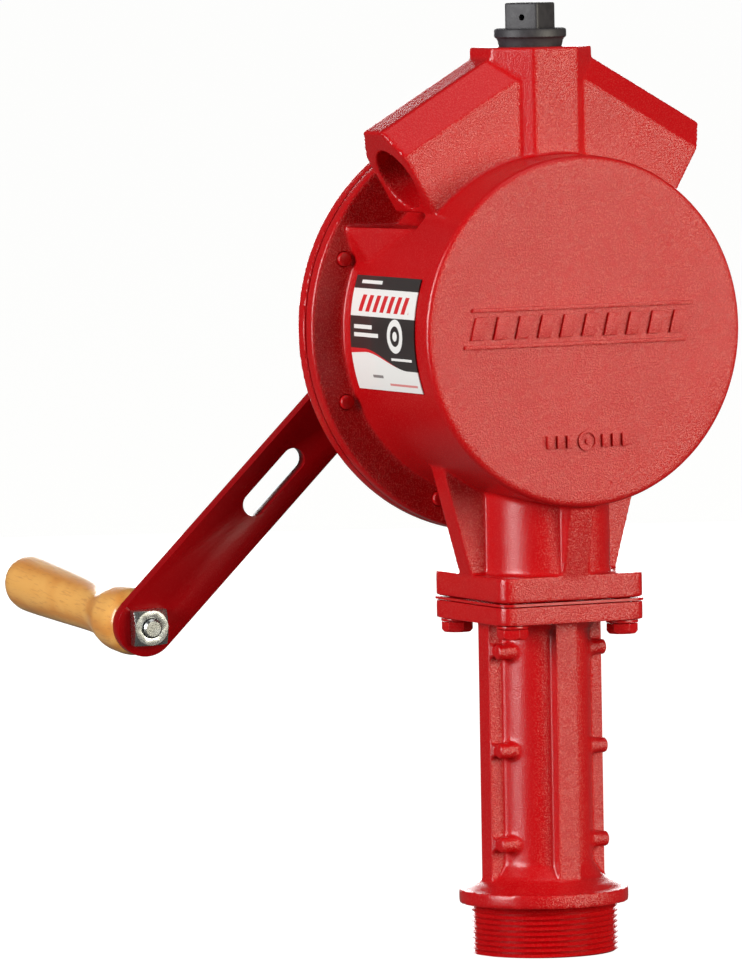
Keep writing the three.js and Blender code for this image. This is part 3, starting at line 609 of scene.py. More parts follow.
bolt_x, bolt_y = bolt_spots[0]
head_top = WASHER_TOP - WASHER_THICKNESS - 0.3
flange_bolt = round_bar(
    "flange_bolt", HEAD_FLATS / math.sqrt(3), (
        bolt_x, bolt_y, head_top - HEAD_HEIGHT
    ), (bolt_x, bolt_y, head_top), 6
)
chamfer = round_bar(
    "head_chamfer",
    HEAD_FLATS / 2 - 0.2,
    (bolt_x, bolt_y, head_top - HEAD_HEIGHT - 0.01),
    (bolt_x, bolt_y, head_top + 4),
    48,
    HEAD_FLATS / 2 + 7,
)
combine(flange_bolt, "INTERSECT", chamfer)
break_edges(flange_bolt, 0.35, 3, 25)
combine(
    flange_bolt,
    "UNION",
    round_bar("shank", SHANK_RADIUS, (bolt_x, bolt_y, head_top - 1), (bolt_x, bolt_y, BOLT_TOP), 32),
)
flange_washer = round_bar(
    "flange_washer",
    FLANGE_WASHER_RADIUS,
    (bolt_x, bolt_y, WASHER_TOP - WASHER_THICKNESS),
    (bolt_x, bolt_y, WASHER_TOP),
    48,
)
combine(
    flange_washer,
    "DIFFERENCE",
    round_bar("eye", BOLT_HOLE, (bolt_x, bolt_y, 100), (bolt_x, bolt_y, 130), 32),
)
break_edges(flange_washer, 0.25, 2, 40)


def copy_to(piece, name, shift):
    """A copy of a piece with its own mesh, moved in millimetres."""
    twin = piece.copy()
    twin.data = piece.data.copy()
    twin.name = name
    twin.data.transform(Matrix.Translation(Vector(shift) * MM))
    bpy.context.scene.collection.objects.link(twin)
    return twin


for number, (x, y) in enumerate(bolt_spots, 1):
    shift = (x - bolt_x, y - bolt_y, 0)
    bolt = copy_to(flange_bolt, f"column_bolt_{number}", shift)
    smooth_faces(bolt, 30)
    paint(bolt, smooth_red, "red_powder_coat", "pump_body", f"flange_bolt_{number}")
    washer = copy_to(flange_washer, f"column_washer_{number}", shift)
    smooth_faces(washer, 30)
    paint(washer, smooth_red, "red_powder_coat", "pump_body", f"flange_washer_{number}")
bpy.data.objects.remove(flange_bolt)
bpy.data.objects.remove(flange_washer)


# ------------------------------------------------------------------ casing
# One grey iron casting: a drum closed at the front, a bolting ring, an octagonal outlet tower
# with a boot for a nozzle on each side, and a ribbed neck down to the square flange.

DRUM_HEIGHT = 234.7
DRUM_RADIUS = 71.1
DRUM_FRONT = -44.8
RING_RADIUS = 85.5
RING_FRONT = 31.95
RING_REAR = 38.4
CHAMBER_RADIUS = 58
CHAMBER_FRONT = -38
SHAFT_HEIGHT = 242.8
TOWER_FLATS = 46.2
TOWER_TOP = 349.2
OUTLET_BORE = 13.3
BOOT_SLOPE = 30
BOOT_LENGTH = 62
BOOT_HALF_DEPTH = 18.1
BOOT_TOP_HALF = 8.3
BOOT_CROWN = 19.6
BOOT_SHOULDER = 7.7
BOOT_KEEL = -19
BOOT_END = (62.85, 0, 299.2)
BOOT_BORE = 13.4
BOOT_BORE_DROP = -3.3
BOOT_BORE_DEPTH = 34
NECK_RADIUS = 26.3
NECK_Y = -6.5
CASING_FLANGE_FOOT = 125
CASING_FLANGE_TOP = 135.2
LEDGE_TOP = 277
SCREW_CIRCLE = 76.2
SCREW_COUNT = 8
SCREW_HOLE = 3.3
BUSH_RADIUS = 11.3
FRONT_BOSS_RADIUS = 15
INLET_PORT = 10.5
CASTING_LIMIT = 190000

drum_front = (0, DRUM_FRONT, DRUM_HEIGHT)
screw_spots = [
    (
        math.cos(math.tau * (turn + 0.5) / SCREW_COUNT) * SCREW_CIRCLE,
        DRUM_HEIGHT + math.sin(math.tau * (turn + 0.5) / SCREW_COUNT) * SCREW_CIRCLE,
    )
    for turn in range(SCREW_COUNT)
]


def on_plane_y(y):
    """A test for edges that lie on a plane across the shaft."""
    return lambda a, b: abs(a.y - y) < 0.05 and abs(b.y - y) < 0.05


def boot(side):
    """One hollow arm, built level at the end of its slope and then swung down to its place."""
    far = -side * BOOT_LENGTH
    arm = billet(
        "boot",
        (min(0, far), -BOOT_HALF_DEPTH, BOOT_KEEL),
        (max(0, far), BOOT_HALF_DEPTH, BOOT_CROWN),
    )
    roof = (BOOT_CROWN - BOOT_SHOULDER, BOOT_HALF_DEPTH - BOOT_TOP_HALF)
    saw_off(arm, (0, BOOT_HALF_DEPTH, BOOT_SHOULDER), (0, roof[0], roof[1]))
    saw_off(arm, (0, -BOOT_HALF_DEPTH, BOOT_SHOULDER), (0, -roof[0], roof[1]))
    bore = round_bar(
        "boot_bore", BOOT_BORE, (side * 2, 0, BOOT_BORE_DROP), (
            -side * BOOT_BORE_DEPTH, 0, BOOT_BORE_DROP
        ), 96
    )
    arm_end = Matrix.Translation(Vector((side * BOOT_END[0], 0, BOOT_END[2])) * MM)
    swing = arm_end @ Matrix.Rotation(math.radians(side * BOOT_SLOPE), 4, "Y")
    for piece in (arm, bore):
        piece.matrix_world = swing
        bpy.context.view_layer.update()
        settle(piece)
    return arm, bore


def gusset(side):
    """The web between the flange's side and the drum, wider at the top."""
    foot = CASING_FLANGE_TOP - 1
    edge = FLANGE_SIDE / 2
    web = billet("gusset", (min(side * 20, side * 46), -5, foot), (max(side * 20, side * 46), 6.7, 184))
    saw_off(web, (side * edge, 0, foot), (side * 34.5, 0, -9.6))
    return saw_off(web, (side * (edge + 9.6), 0, foot + 34.5), (side * 13.4, 0, -3.6))


def shoulder(side):
    """The ledge under a boot, and the hollow above it between the drum's wall and the ring."""
    ledge = billet(
        "ledge", (min(side * 48, side * 80), -4, 256), (max(side * 48, side * 80), 33, LEDGE_TOP)
    )
    saw_off(ledge, (side * 69.7, RING_FRONT, LEDGE_TOP), (side * 15, 0, -4.5))
    saw_off(ledge, (side * 69.7, RING_FRONT, LEDGE_TOP), (side * 31, -10, 0))
    hollow = billet(
        "hollow",
        (min(side * 32, side * 95), -8, LEDGE_TOP),
        (max(side * 32, side * 95), RING_FRONT, 345),
    )
    wall = round_bar(
        "chamber_wall", CHAMBER_RADIUS + 4.5, (0, -60, DRUM_HEIGHT), (0, 60, DRUM_HEIGHT), 128
    )
    combine(hollow, "DIFFERENCE", wall)
    return ledge, hollow


casing = round_bar("pump_casing_casting", DRUM_RADIUS, drum_front, (0, RING_REAR, DRUM_HEIGHT), 192)
round_edges(casing, 2.4, 5, on_plane_y(DRUM_FRONT))
bolting_ring = round_bar(
    "ring", RING_RADIUS, (0, RING_FRONT, DRUM_HEIGHT), (0, RING_REAR, DRUM_HEIGHT), 192
)
round_edges(bolting_ring, 1, 3, on_plane_y(RING_FRONT))
combine(casing, "UNION", bolting_ring)
for side in (-1, 1):
    ledge, hollow = shoulder(side)
    combine(casing, "UNION", ledge)
    combine(casing, "DIFFERENCE", hollow)
tower_radius = TOWER_FLATS / 2 / math.cos(math.pi / 8)
tower = round_bar("tower", tower_radius, (0, 0, 288), (0, 0, TOWER_TOP), 8)
tower.data.transform(Matrix.Rotation(math.pi / 8, 4, "Z"))
boots = [boot(side) for side in (-1, 1)]
neck = round_bar("neck", NECK_RADIUS, (0, NECK_Y, 134), (0, NECK_Y, 186), 96)
front_web = billet("front_web", (-5.8, -40, 134), (5.8, -20, 182))
saw_off(front_web, (0, -FLANGE_SIDE / 2, 134), (0, -25, -6.5))
rear_web = billet("rear_web", (-5.5, 15, 134), (5.5, RING_FRONT + 1, 182))
combine(
    casing,
    "UNION",
    tower,
    *[arm for arm, bore in boots],
    neck,
    square_flange("casing_flange", CASING_FLANGE_FOOT, CASING_FLANGE_TOP),
    front_web,
    rear_web,
    gusset(-1),
    gusset(1),
)
combine(casing, "DIFFERENCE", *[bore for arm, bore in boots])
cast(casing, CAST_GRAIN, 7)
casing_triangles = 2 * len(casing.data.polygons)
if casing_triangles > CASTING_LIMIT:
    finish_with(casing, "DECIMATE", decimate_type="COLLAPSE", ratio=CASTING_LIMIT / casing_triangles)
chamber = round_bar(
    "chamber", CHAMBER_RADIUS, (0, CHAMBER_FRONT, DRUM_HEIGHT), (0, 60, DRUM_HEIGHT), 128
)
front_boss = round_bar(
    "front_boss",
    FRONT_BOSS_RADIUS,
    (0, CHAMBER_FRONT - 1, SHAFT_HEIGHT),
    (0, CHAMBER_FRONT + 10, SHAFT_HEIGHT),
    64,
)
bush_pocket = round_bar(
    "bush_pocket", BUSH_RADIUS, (
        0, CHAMBER_FRONT - 3.5, SHAFT_HEIGHT
    ), (0, CHAMBER_FRONT + 13, SHAFT_HEIGHT), 64
)
combine(chamber, "DIFFERENCE", front_boss)
combine(
    casing,
    "DIFFERENCE",
    chamber,
    bush_pocket,
    round_bar("inlet_port", INLET_PORT, (0, 0, 120), (0, -2, 150), 64),
    round_bar("outlet_bore", OUTLET_BORE, (0, 0, 322), (0, 0, 360), 96),
    *[round_bar("bolt_hole", BOLT_HOLE, (x, y, 120), (x, y, 133.5), 24) for x, y in bolt_spots],
    *[round_bar("screw_hole", SCREW_HOLE, (x, 20, z), (x, 60, z), 32) for x, z in screw_spots],
)
smooth_faces(casing, 35)
paint(casing, cast_red, "red_powder_coat", "pump_body", "pump_casing")


# ------------------------------------------------------------------ raised badge on the drum's face
# Low relief from the pattern, red like the rest: a row of leaning bars between two rails, and under
# it a small plain dial between tally strokes. It carries no lettering.

BADGE_HEIGHT = 237.5
BADGE_MIDDLE = -3
BADGE_LEAN = 14
BADGE_HALF_LENGTH = 50
BADGE_BAR_COUNT = 10
DIAL_HEIGHT = 190.5
DIAL_RADIUS = 4.2
RELIEF = 1.25

relief_front = DRUM_FRONT - RELIEF
relief_root = DRUM_FRONT + 0.6


def relief_block(name, left, right, low, high):
    """A block that stands out of the drum's closed face by the relief."""
    return billet(name, (left, relief_front, low), (right, relief_root, high))


badge_left = BADGE_MIDDLE - BADGE_HALF_LENGTH
badge_right = BADGE_MIDDLE + BADGE_HALF_LENGTH
badge = relief_block("casting_badge", badge_left, badge_right, BADGE_HEIGHT - 8.2, BADGE_HEIGHT - 6.6)
slats = [relief_block("top_rail", badge_left, badge_right, BADGE_HEIGHT + 6.6, BADGE_HEIGHT + 8.2)]
pitch = 2 * BADGE_HALF_LENGTH / BADGE_BAR_COUNT
for count in range(BADGE_BAR_COUNT):
    middle = badge_left + pitch * (count + 0.5)
    slats.append(
        relief_block("slat", middle - 2.8, middle + 2.8, BADGE_HEIGHT - 4.6, BADGE_HEIGHT + 4.6)
    )
combine(badge, "UNION", *slats)
slant = Matrix.Identity(4)
slant[0][2] = math.tan(math.radians(BADGE_LEAN))
level = Matrix.Translation((0, 0, BADGE_HEIGHT * MM))
badge.data.transform(level @ slant @ level.inverted())

dial = round_bar(
    "casting_dial", DIAL_RADIUS, (0, relief_front + 0.4, DIAL_HEIGHT), (0, relief_root, DIAL_HEIGHT), 64
)
dial_hollow = round_bar(
    "dial_hollow", DIAL_RADIUS - 0.9, (
        0, relief_front - 1, DIAL_HEIGHT
    ), (0, DRUM_FRONT - 0.1, DIAL_HEIGHT), 64
)
combine(dial, "DIFFERENCE", dial_hollow)
marks = [
    round_bar("dial_pip", 1, (0, relief_front + 0.4, DIAL_HEIGHT), (0, relief_root, DIAL_HEIGHT), 32)
]
for side in (-1, 1):
    for reach in (8, 12.5, 17):
        marks.append(
            relief_block(
                "tally", side * reach - 1.4, side * reach + 1.4, DIAL_HEIGHT - 2.6, DIAL_HEIGHT + 2.6
            )
        )
combine(dial, "UNION", *marks)
for relief in (badge, dial):
    break_edges(relief, 0.25, 2, 40)
    smooth_faces(relief, 35)
    paint(relief, cast_red, "red_powder_coat", "pump_body")


# ------------------------------------------------------------------ rear cover
# A ribbed iron disc with a boss for the shaft. Eight quarter inch screws pull it against a fibre
# gasket, and their tips stand a little proud of the ring's front.

COVER_FRONT = 39.8
COVER_REAR = 45.75
BOSS_RADIUS = 19
BOSS_REAR = 68
SEAL_POCKET = 14.3
SEAL_FRONT = 58
SCREW_HEAD_RADIUS = 5.8
SCREW_HEAD_HEIGHT = 4
SCREW_RADIUS = 3
SCREW_TIP = 30.15
SHAFT_HOLE = 8.2
RIB_REACH = 64
RIB_HALF = 2.5

cover = round_bar(
    "rear_cover_casting", RING_RADIUS, (0, COVER_FRONT, DRUM_HEIGHT), (0, COVER_REAR, DRUM_HEIGHT), 192
)
round_edges(cover, 1, 3, on_plane_y(COVER_REAR))
cover_boss = round_bar(
    "boss", BOSS_RADIUS + 3, (
        0, COVER_REAR - 1, SHAFT_HEIGHT
    ), (0, BOSS_REAR, SHAFT_HEIGHT), 96, BOSS_RADIUS
)
ribs = []
for turn in (30, 90, 150):
    rib = billet("web", (-RIB_REACH, COVER_REAR - 1, -RIB_HALF), (RIB_REACH, BOSS_REAR - 4, RIB_HALF))
    for side in (-1, 1):
        saw_off(rib, (side * RIB_REACH, COVER_REAR + 3, 0), (side * 15.25, 48, 0))
    rib.data.transform(
        Matrix.Translation((0, 0, DRUM_HEIGHT * MM)) @ Matrix.Rotation(math.radians(-turn), 4, "Y")
    )
    ribs.append(rib)
combine(cover, "UNION", cover_boss, *ribs)
cast(cover, CAST_GRAIN, 4)
combine(
    cover,
    "DIFFERENCE",
    round_bar(
        "bush_seat",
        BUSH_RADIUS,
        (0, COVER_FRONT + 1.5, SHAFT_HEIGHT),
        (0, SEAL_FRONT + 1, SHAFT_HEIGHT),
        64,
    ),
    round_bar("shaft_hole", SHAFT_HOLE, (0, 20, SHAFT_HEIGHT), (0, 80, SHAFT_HEIGHT), 64),
    round_bar("seal_pocket", SEAL_POCKET, (0, SEAL_FRONT, SHAFT_HEIGHT), (0, 80, SHAFT_HEIGHT), 64),
    *[round_bar("screw_hole", SCREW_HOLE, (x, 20, z), (x, 60, z), 32) for x, z in screw_spots],
)
smooth_faces(cover, 35)
paint(cover, cast_red, "red_powder_coat", "pump_body", "rear_cover")

cover_joint = round_bar(
    "cover_joint", RING_RADIUS - 0.2, (0, 38.7, DRUM_HEIGHT), (0, 39.5, DRUM_HEIGHT), 192
)
combine(
    cover_joint,
    "DIFFERENCE",
    round_bar("joint_bore", CHAMBER_RADIUS + 7, (0, 30, DRUM_HEIGHT), (0, 50, DRUM_HEIGHT), 128),
    *[round_bar("screw_hole", SCREW_HOLE, (x, 20, z), (x, 60, z), 32) for x, z in screw_spots],
)
smooth_faces(cover_joint, 30)
paint(cover_joint, smooth_red, "fibre_gasket", "pump_body", "cover_gasket")

first_x, first_z = screw_spots[0]
head_front = COVER_REAR + 0.3
cover_screw = round_bar(
    "cover_screw_pattern",
    SCREW_HEAD_RADIUS,
    (first_x, head_front, first_z),
    (first_x, head_front + SCREW_HEAD_HEIGHT, first_z),
    6,
)
combine(
    cover_screw,
    "INTERSECT",
    round_bar(
        "head_cone",
        SCREW_HEAD_RADIUS + 7,
        (first_x, head_front - 4, first_z),
        (first_x, head_front + SCREW_HEAD_HEIGHT + 0.01, first_z),
        48,
        SCREW_HEAD_RADIUS * 0.9,
    ),
)
break_edges(cover_screw, 0.3, 3, 25)
screw_shank = round_bar(
    "shank", SCREW_RADIUS, (first_x, SCREW_TIP, first_z), (first_x, head_front + 1, first_z), 40
)
round_edges(screw_shank, 0.9, 3, on_plane_y(SCREW_TIP))
combine(cover_screw, "UNION", screw_shank)
for number, (x, z) in enumerate(screw_spots, 1):
    screw = copy_to(cover_screw, f"cover_bolt_{number}", (x - first_x, 0, z - first_z))
    smooth_faces(screw, 30)
    paint(screw, smooth_red, "red_powder_coat", "pump_body", f"cover_screw_{number}")
bpy.data.objects.remove(cover_screw)


# ------------------------------------------------------------------ outlet plug
# A moulded black nylon plug screwed into the tower. It has a cupped collar and a square head with
# soft corners, and the mould left a small round hole in one side of the head.

PLUG_SQUARE = 15.5
PLUG_TURN = 34
PLUG_FLANGE = 14.7
PLUG_HEAD_FOOT = 355
PLUG_HEAD_TOP = 366.85
PLUG_HOLLOW = 9.5
MOULD_HOLE = 1.3

black_nylon, nylon_shader = new_material("moulded black nylon", "#2b292d", 0.52)
# Glass fibre in the nylon leaves a faint grey mottle and a grain of about a millimetre.
nylon_place = add_node(black_nylon, "ShaderNodeTexCoord")
mottle = add_node(
    black_nylon,
    "ShaderNodeTexNoise",
    {"Vector": nylon_place.outputs["Object"], "Scale": 1 / (2.5 * MM), "Detail": 6.0},
)
nylon_shade = add_node(
    black_nylon,
    "ShaderNodeMix",
    {0: mottle.outputs["Fac"], 6: linear("#1d1c1f"), 7: linear("#3d3a3f")},
    data_type="RGBA",
)
nylon_grain = add_node(
    black_nylon,
    "ShaderNodeTexNoise",
    {"Vector": nylon_place.outputs["Object"], "Scale": 1 / (0.8 * MM), "Detail": 3.0},
)
nylon_bump = add_node(
    black_nylon, "ShaderNodeBump", {"Distance": 0.08 * MM, "Height": nylon_grain.outputs["Fac"]}
)
nylon_dull = add_node(
    black_nylon, "ShaderNodeMapRange", {"Value": mottle.outputs["Fac"], "To Min": 0.42, "To Max": 0.62}
)
black_nylon.node_tree.links.new(nylon_shade.outputs[2], nylon_shader.inputs["Base Color"])
black_nylon.node_tree.links.new(nylon_bump.outputs["Normal"], nylon_shader.inputs["Normal"])
black_nylon.node_tree.links.new(nylon_dull.outputs["Result"], nylon_shader.inputs["Roughness"])


def turned_solid(name, stations, sides=96):
    """A turned shape stood up Z. Each station is a radius and a height, and the ends are closed."""
    deselect()
    radius, height = stations[0]
    bpy.ops.mesh.primitive_circle_add(
        vertices=sides, radius=radius * MM, fill_type="NGON", location=(0, 0, height * MM)
    )
    piece = bpy.context.object
    piece.name = name
    settle(piece)
    bpy.ops.object.mode_set(mode="EDIT")
    bpy.ops.mesh.select_mode(type="FACE")
    bpy.ops.mesh.select_all(action="SELECT")
    for next_radius, next_height in stations[1:]:
        bpy.ops.mesh.extrude_region_move(
            TRANSFORM_OT_translate={"value": (0, 0, (next_height - height) * MM)}
        )
        growth = next_radius / radius
        bpy.ops.transform.resize(value=(growth, growth, 1), center_override=(0, 0, next_height * MM))
        radius, height = next_radius, next_height
    bpy.ops.mesh.select_all(action="SELECT")
    bpy.ops.mesh.normals_make_consistent(inside=False)
    bpy.ops.object.mode_set(mode="OBJECT")
    return piece


plug = turned_solid(
    "tower_plug",
    (
        (12.2, 332),
        (12.3, 346),
        (12.9, TOWER_TOP + 0.3),
        (13.3, TOWER_TOP + 2.2),
        (13.8, TOWER_TOP + 3.2),
        (14.3, TOWER_TOP + 3.5),
        (PLUG_FLANGE, TOWER_TOP + 4),
        (PLUG_FLANGE, TOWER_TOP + 6.4),
        (14.4, TOWER_TOP + 7),
        (13.6, TOWER_TOP + 7.3),
    ),
)
head = billet(
    "plug_head",
    (-PLUG_SQUARE / 2, -PLUG_SQUARE / 2, PLUG_HEAD_FOOT),
    (PLUG_SQUARE / 2, PLUG_SQUARE / 2, PLUG_HEAD_TOP),
)
round_edges(head, 1.3, 4, upright)
round_edges(head, 0.7, 3, lambda a, b: min(a.z, b.z) > PLUG_HEAD_TOP - 0.05)
combine(
    head,
    "DIFFERENCE",
    round_bar(
        "mould_hole", MOULD_HOLE, (-PLUG_SQUARE, -0.5, 361), (-PLUG_SQUARE / 2 + 3, -0.5, 361), 24
    ),
)
head.data.transform(Matrix.Rotation(math.radians(PLUG_TURN), 4, "Z"))
combine(plug, "UNION", head)
combine(
    plug, "DIFFERENCE", round_bar("plug_hollow", PLUG_HOLLOW, (0, 0, 320), (0, 0, TOWER_TOP + 3), 48)
)
smooth_faces(plug, 32)
paint(plug, black_nylon, "black_plastic", "pump_body", "outlet_plug")


# ------------------------------------------------------------------ running gear and valve
# The rotor, its carbon vanes, the bronze bushes and the inlet valve are shut inside and keep the
# frame's shapes. Each takes the finish that its own machining or moulding leaves.

turned_steel, steel_shader = new_material("turned mild steel", "#9da0a3", 0.34, 1.0)
# Tool marks run round the shaft's axis. Real ones are about a quarter of a millimetre apart, too
# fine to show, so they are drawn about one and a half millimetres apart.
steel_place = add_node(turned_steel, "ShaderNodeTexCoord")
tool_marks = add_node(
    turned_steel,
    "ShaderNodeTexWave",
    {"Vector": steel_place.outputs["Object"], "Scale": 1 / (5 * MM), "Distortion": 0.6, "Detail": 2.0},
    bands_direction="Y",
)
smear = add_node(
    turned_steel,
    "ShaderNodeTexNoise",
    {"Vector": steel_place.outputs["Object"], "Scale": 1 / (9 * MM), "Detail": 4.0},
)
steel_dull = add_node(
    turned_steel, "ShaderNodeMapRange", {"Value": smear.outputs["Fac"], "To Min": 0.24, "To Max": 0.46}
)
steel_bump = add_node(
    turned_steel, "ShaderNodeBump", {"Distance": 0.01 * MM, "Height": tool_marks.outputs["Fac"]}
)
steel_tint = add_node(
    turned_steel,
    "ShaderNodeMix",
    {0: smear.outputs["Fac"], 6: linear("#85888c"), 7: linear("#b3b6b8")},
    data_type="RGBA",
)
turned_steel.node_tree.links.new(steel_tint.outputs[2], steel_shader.inputs["Base Color"])
turned_steel.node_tree.links.new(steel_dull.outputs["Result"], steel_shader.inputs["Roughness"])
turned_steel.node_tree.links.new(steel_bump.outputs["Normal"], steel_shader.inputs["Normal"])


def mottled(name, light, dark, grain_size, grain_height, roughness, metallic=0.0):
    """A plain stock material: two close tones in drifts, over a grain of its own size."""
    material, shader = new_material(name, light, roughness, metallic)
    place = add_node(material, "ShaderNodeTexCoord")
    drift = add_node(
        material, "ShaderNodeTexNoise", {
            "Vector": place.outputs["Object"], "Scale": 1 / (12 * MM), "Detail": 5.0
        }
    )
    grain = add_node(
        material,
        "ShaderNodeTexNoise",
        {"Vector": place.outputs["Object"], "Scale": 1 / (grain_size * MM), "Detail": 3.0},
    )
    tone = add_node(
        material, "ShaderNodeMix", {
            0: drift.outputs["Fac"], 6: linear(light), 7: linear(dark)
        }, data_type="RGBA"
    )
    rough = add_node(
        material,
        "ShaderNodeMapRange",
        {"Value": drift.outputs["Fac"], "To Min": roughness - 0.06, "To Max": roughness + 0.08},
    )
    bump = add_node(
        material, "ShaderNodeBump", {"Distance": grain_height * MM, "Height": grain.outputs["Fac"]}
    )
    material.node_tree.links.new(tone.outputs[2], shader.inputs["Base Color"])
    material.node_tree.links.new(rough.outputs["Result"], shader.inputs["Roughness"])
    material.node_tree.links.new(bump.outputs["Normal"], shader.inputs["Normal"])
    return material


bearing_bronze = mottled("bearing bronze", "#b98a4d", "#8f6630", 0.9, 0.02, 0.38, 1.0)
grey_iron = mottled("machined grey iron", "#6d7072", "#4f5254", 0.7, 0.03, 0.5, 1.0)
pressed_carbon = mottled("pressed carbon", "#202022", "#2d2d30", 0.5, 0.03, 0.6)
nitrile = mottled("nitrile rubber", "#151517", "#222225", 0.8, 0.03, 0.7)

coil = bpy.data.objects.new("valve_coil_spring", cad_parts["inlet_valve_spring"].data.copy())
bpy.context.scene.collection.objects.link(coil)
deselect()
bpy.context.view_layer.objects.active = coil
bpy.ops.object.mode_set(mode="EDIT")
bpy.ops.mesh.select_all(action="SELECT")
bpy.ops.mesh.remove_doubles(threshold=0.001 * MM)
bpy.ops.object.mode_set(mode="OBJECT")
smooth_faces(coil, 80)
paint(coil, turned_steel, "plain_steel", "pump_body", "inlet_valve_spring")
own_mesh(coil)

inner_finishes = {
    grey_iron: ["rotor"],
    pressed_carbon: ["vane_1", "vane_2", "vane_3", "vane_4"],
    turned_steel: [
        "vane_spring_1",
        "vane_spring_2",
        "vane_spring_3",
        "vane_spring_4",
        "rotor_key",
        "strainer_basket",
    ],
    bearing_bronze: ["front_bush", "rear_bush", "inlet_valve_seat", "inlet_valve_guide"],
    nitrile: ["shaft_seal", "inlet_valve_poppet"],
}
for finish, names in inner_finishes.items():
    for name in names:
        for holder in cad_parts[name].material_slots:
            holder.material = finish

# The shaft is drawn bar with a square end for the crank and a keyway for the rotor.
SHAFT_RADIUS = 7.9
SHAFT_FRONT = -41
SHAFT_SQUARE = 11.1
CRANK_FACE = 90.7
CRANK_ANGLE = 46
CRANK_LEAN = 5.5
CRANK_BEND = 22
BAR_THICKNESS = 6.35
KEY_HALF = 2.7

hub_face = CRANK_BEND * math.sin(math.radians(CRANK_LEAN))
shaft_end = CRANK_FACE + hub_face - 0.3
shaft = round_bar("crank_shaft", SHAFT_RADIUS, (0, SHAFT_FRONT, 0), (0, shaft_end, 0), 96)
round_edges(shaft, 0.6, 2, on_plane_y(shaft_end))
square_end = billet(
    "square_end",
    (-SHAFT_SQUARE / 2, shaft_end - 1, -SHAFT_SQUARE / 2),
    (SHAFT_SQUARE / 2, shaft_end + BAR_THICKNESS, SHAFT_SQUARE / 2),
)
square_end.data.transform(Matrix.Rotation(math.radians(CRANK_ANGLE), 4, "Y"))
combine(shaft, "UNION", square_end)
combine(
    shaft,
    "DIFFERENCE",
    billet("keyway", (-KEY_HALF, -11.3, SHAFT_RADIUS - 2.4), (KEY_HALF, 30.3, 20)),
    round_bar("tapped_hole", 3.3, (0, 82, 0), (0, 110, 0), 32),
)
shaft.data.transform(Matrix.Translation((0, 0, SHAFT_HEIGHT * MM)))
smooth_faces(shaft, 30)
paint(shaft, turned_steel, "plain_steel", "crank", "pump_shaft")

# The gland nut closes the boss over the seal: turned from hexagon bar, chamfered at both ends.
GLAND_FRONT = 68.3
GLAND_REAR = 78
GLAND_RADIUS = 17.6

gland = round_bar(
    "gland_hexagon", GLAND_RADIUS, (0, GLAND_FRONT, SHAFT_HEIGHT), (0, GLAND_REAR, SHAFT_HEIGHT), 6
)
combine(
    gland,
    "INTERSECT",
    round_bar(
        "gland_cone", GLAND_RADIUS + 12, (0, GLAND_FRONT - 2, SHAFT_HEIGHT), (
            0, GLAND_REAR + 0.01, SHAFT_HEIGHT
        ), 64,
        GLAND_RADIUS * 0.88,
    ),
)
break_edges(gland, 0.3, 2, 20)
combine(gland, "UNION", round_bar("spigot", 14, (0, 65.3, SHAFT_HEIGHT), (0, 69, SHAFT_HEIGHT), 64))
combine(
    gland,
    "DIFFERENCE",
    round_bar("gland_bore", SHAFT_HOLE, (0, 20, SHAFT_HEIGHT), (0, 90, SHAFT_HEIGHT), 64),
)
smooth_faces(gland, 30)
paint(gland, turned_steel, "plain_steel", "pump_body", "gland_nut")


# ------------------------------------------------------------------ crank arm
# A length of one inch by quarter inch flat bar with rounded ends, bent a little outwards past the hub.
# It has a slot near the middle and is sprayed smoother than the castings. Its red is set a shade darker
# as painted shade, for the drum's shadow over it.

CRANK_LENGTH = 182.9
BAR_WIDTH = 25.4
SLOT_LENGTH = 34.7
SLOT_WIDTH = 10
SLOT_FROM_GRIP = 80.3
BEND_STEPS = 3
BEND_STEP = 2
ARM_BOLT_HOLE = 4.3
# Painted shade: both reds are set darker than the castings' reds, to stand in for the shadow that the
# drum casts over the arm.
ARM_RED_WITH_PAINTED_SHADE = "#9c0209"
ARM_RED_DEEP_WITH_PAINTED_SHADE = "#8e0108"

lean = math.radians(CRANK_LEAN)
bar_angle = math.radians(CRANK_ANGLE)
crank_place = Matrix(
    (
        (-math.cos(bar_angle), -math.sin(bar_angle), 0, 0),
        (0, 0, 1, CRANK_FACE * MM),
        (-math.sin(bar_angle), math.cos(bar_angle), 0, SHAFT_HEIGHT * MM),
        (0, 0, 0, 1),
    )
)
rear_face = hub_face + BAR_THICKNESS
arm = billet("crank_bar", (0, -BAR_WIDTH / 2, hub_face), (CRANK_LENGTH, BAR_WIDTH / 2, rear_face))
combine(
    arm,
    "UNION",
    round_bar("hub_end", BAR_WIDTH / 2, (0, 0, hub_face), (0, 0, rear_face), 96),
    round_bar("grip_end", BAR_WIDTH / 2, (CRANK_LENGTH, 0, hub_face), (CRANK_LENGTH, 0, rear_face), 96),
)
slot_middle = CRANK_LENGTH - SLOT_FROM_GRIP
slot_reach = (SLOT_LENGTH - SLOT_WIDTH) / 2
slot_tool = billet(
    "slot_tool", (
        slot_middle - slot_reach, -SLOT_WIDTH / 2, -5
    ), (slot_middle + slot_reach, SLOT_WIDTH / 2, 20)
)
combine(
    slot_tool,
    "UNION",
    round_bar(
        "slot_end",
        SLOT_WIDTH / 2,
        (slot_middle - slot_reach, 0, -5),
        (slot_middle - slot_reach, 0, 20),
        48,
    ),
    round_bar(
        "slot_end",
        SLOT_WIDTH / 2,
        (slot_middle + slot_reach, 0, -5),
        (slot_middle + slot_reach, 0, 20),
        48,
    ),
)
square_hole = SHAFT_SQUARE / 2 + 0.3
combine(
    arm,
    "DIFFERENCE",
    slot_tool,
    round_bar("bolt_hole", ARM_BOLT_HOLE, (CRANK_LENGTH, 0, -5), (CRANK_LENGTH, 0, 20), 48),
    billet("square_hole", (-square_hole, -square_hole, -5), (square_hole, square_hole, 20)),
)
break_edges(arm, 0.75, 3, 50)
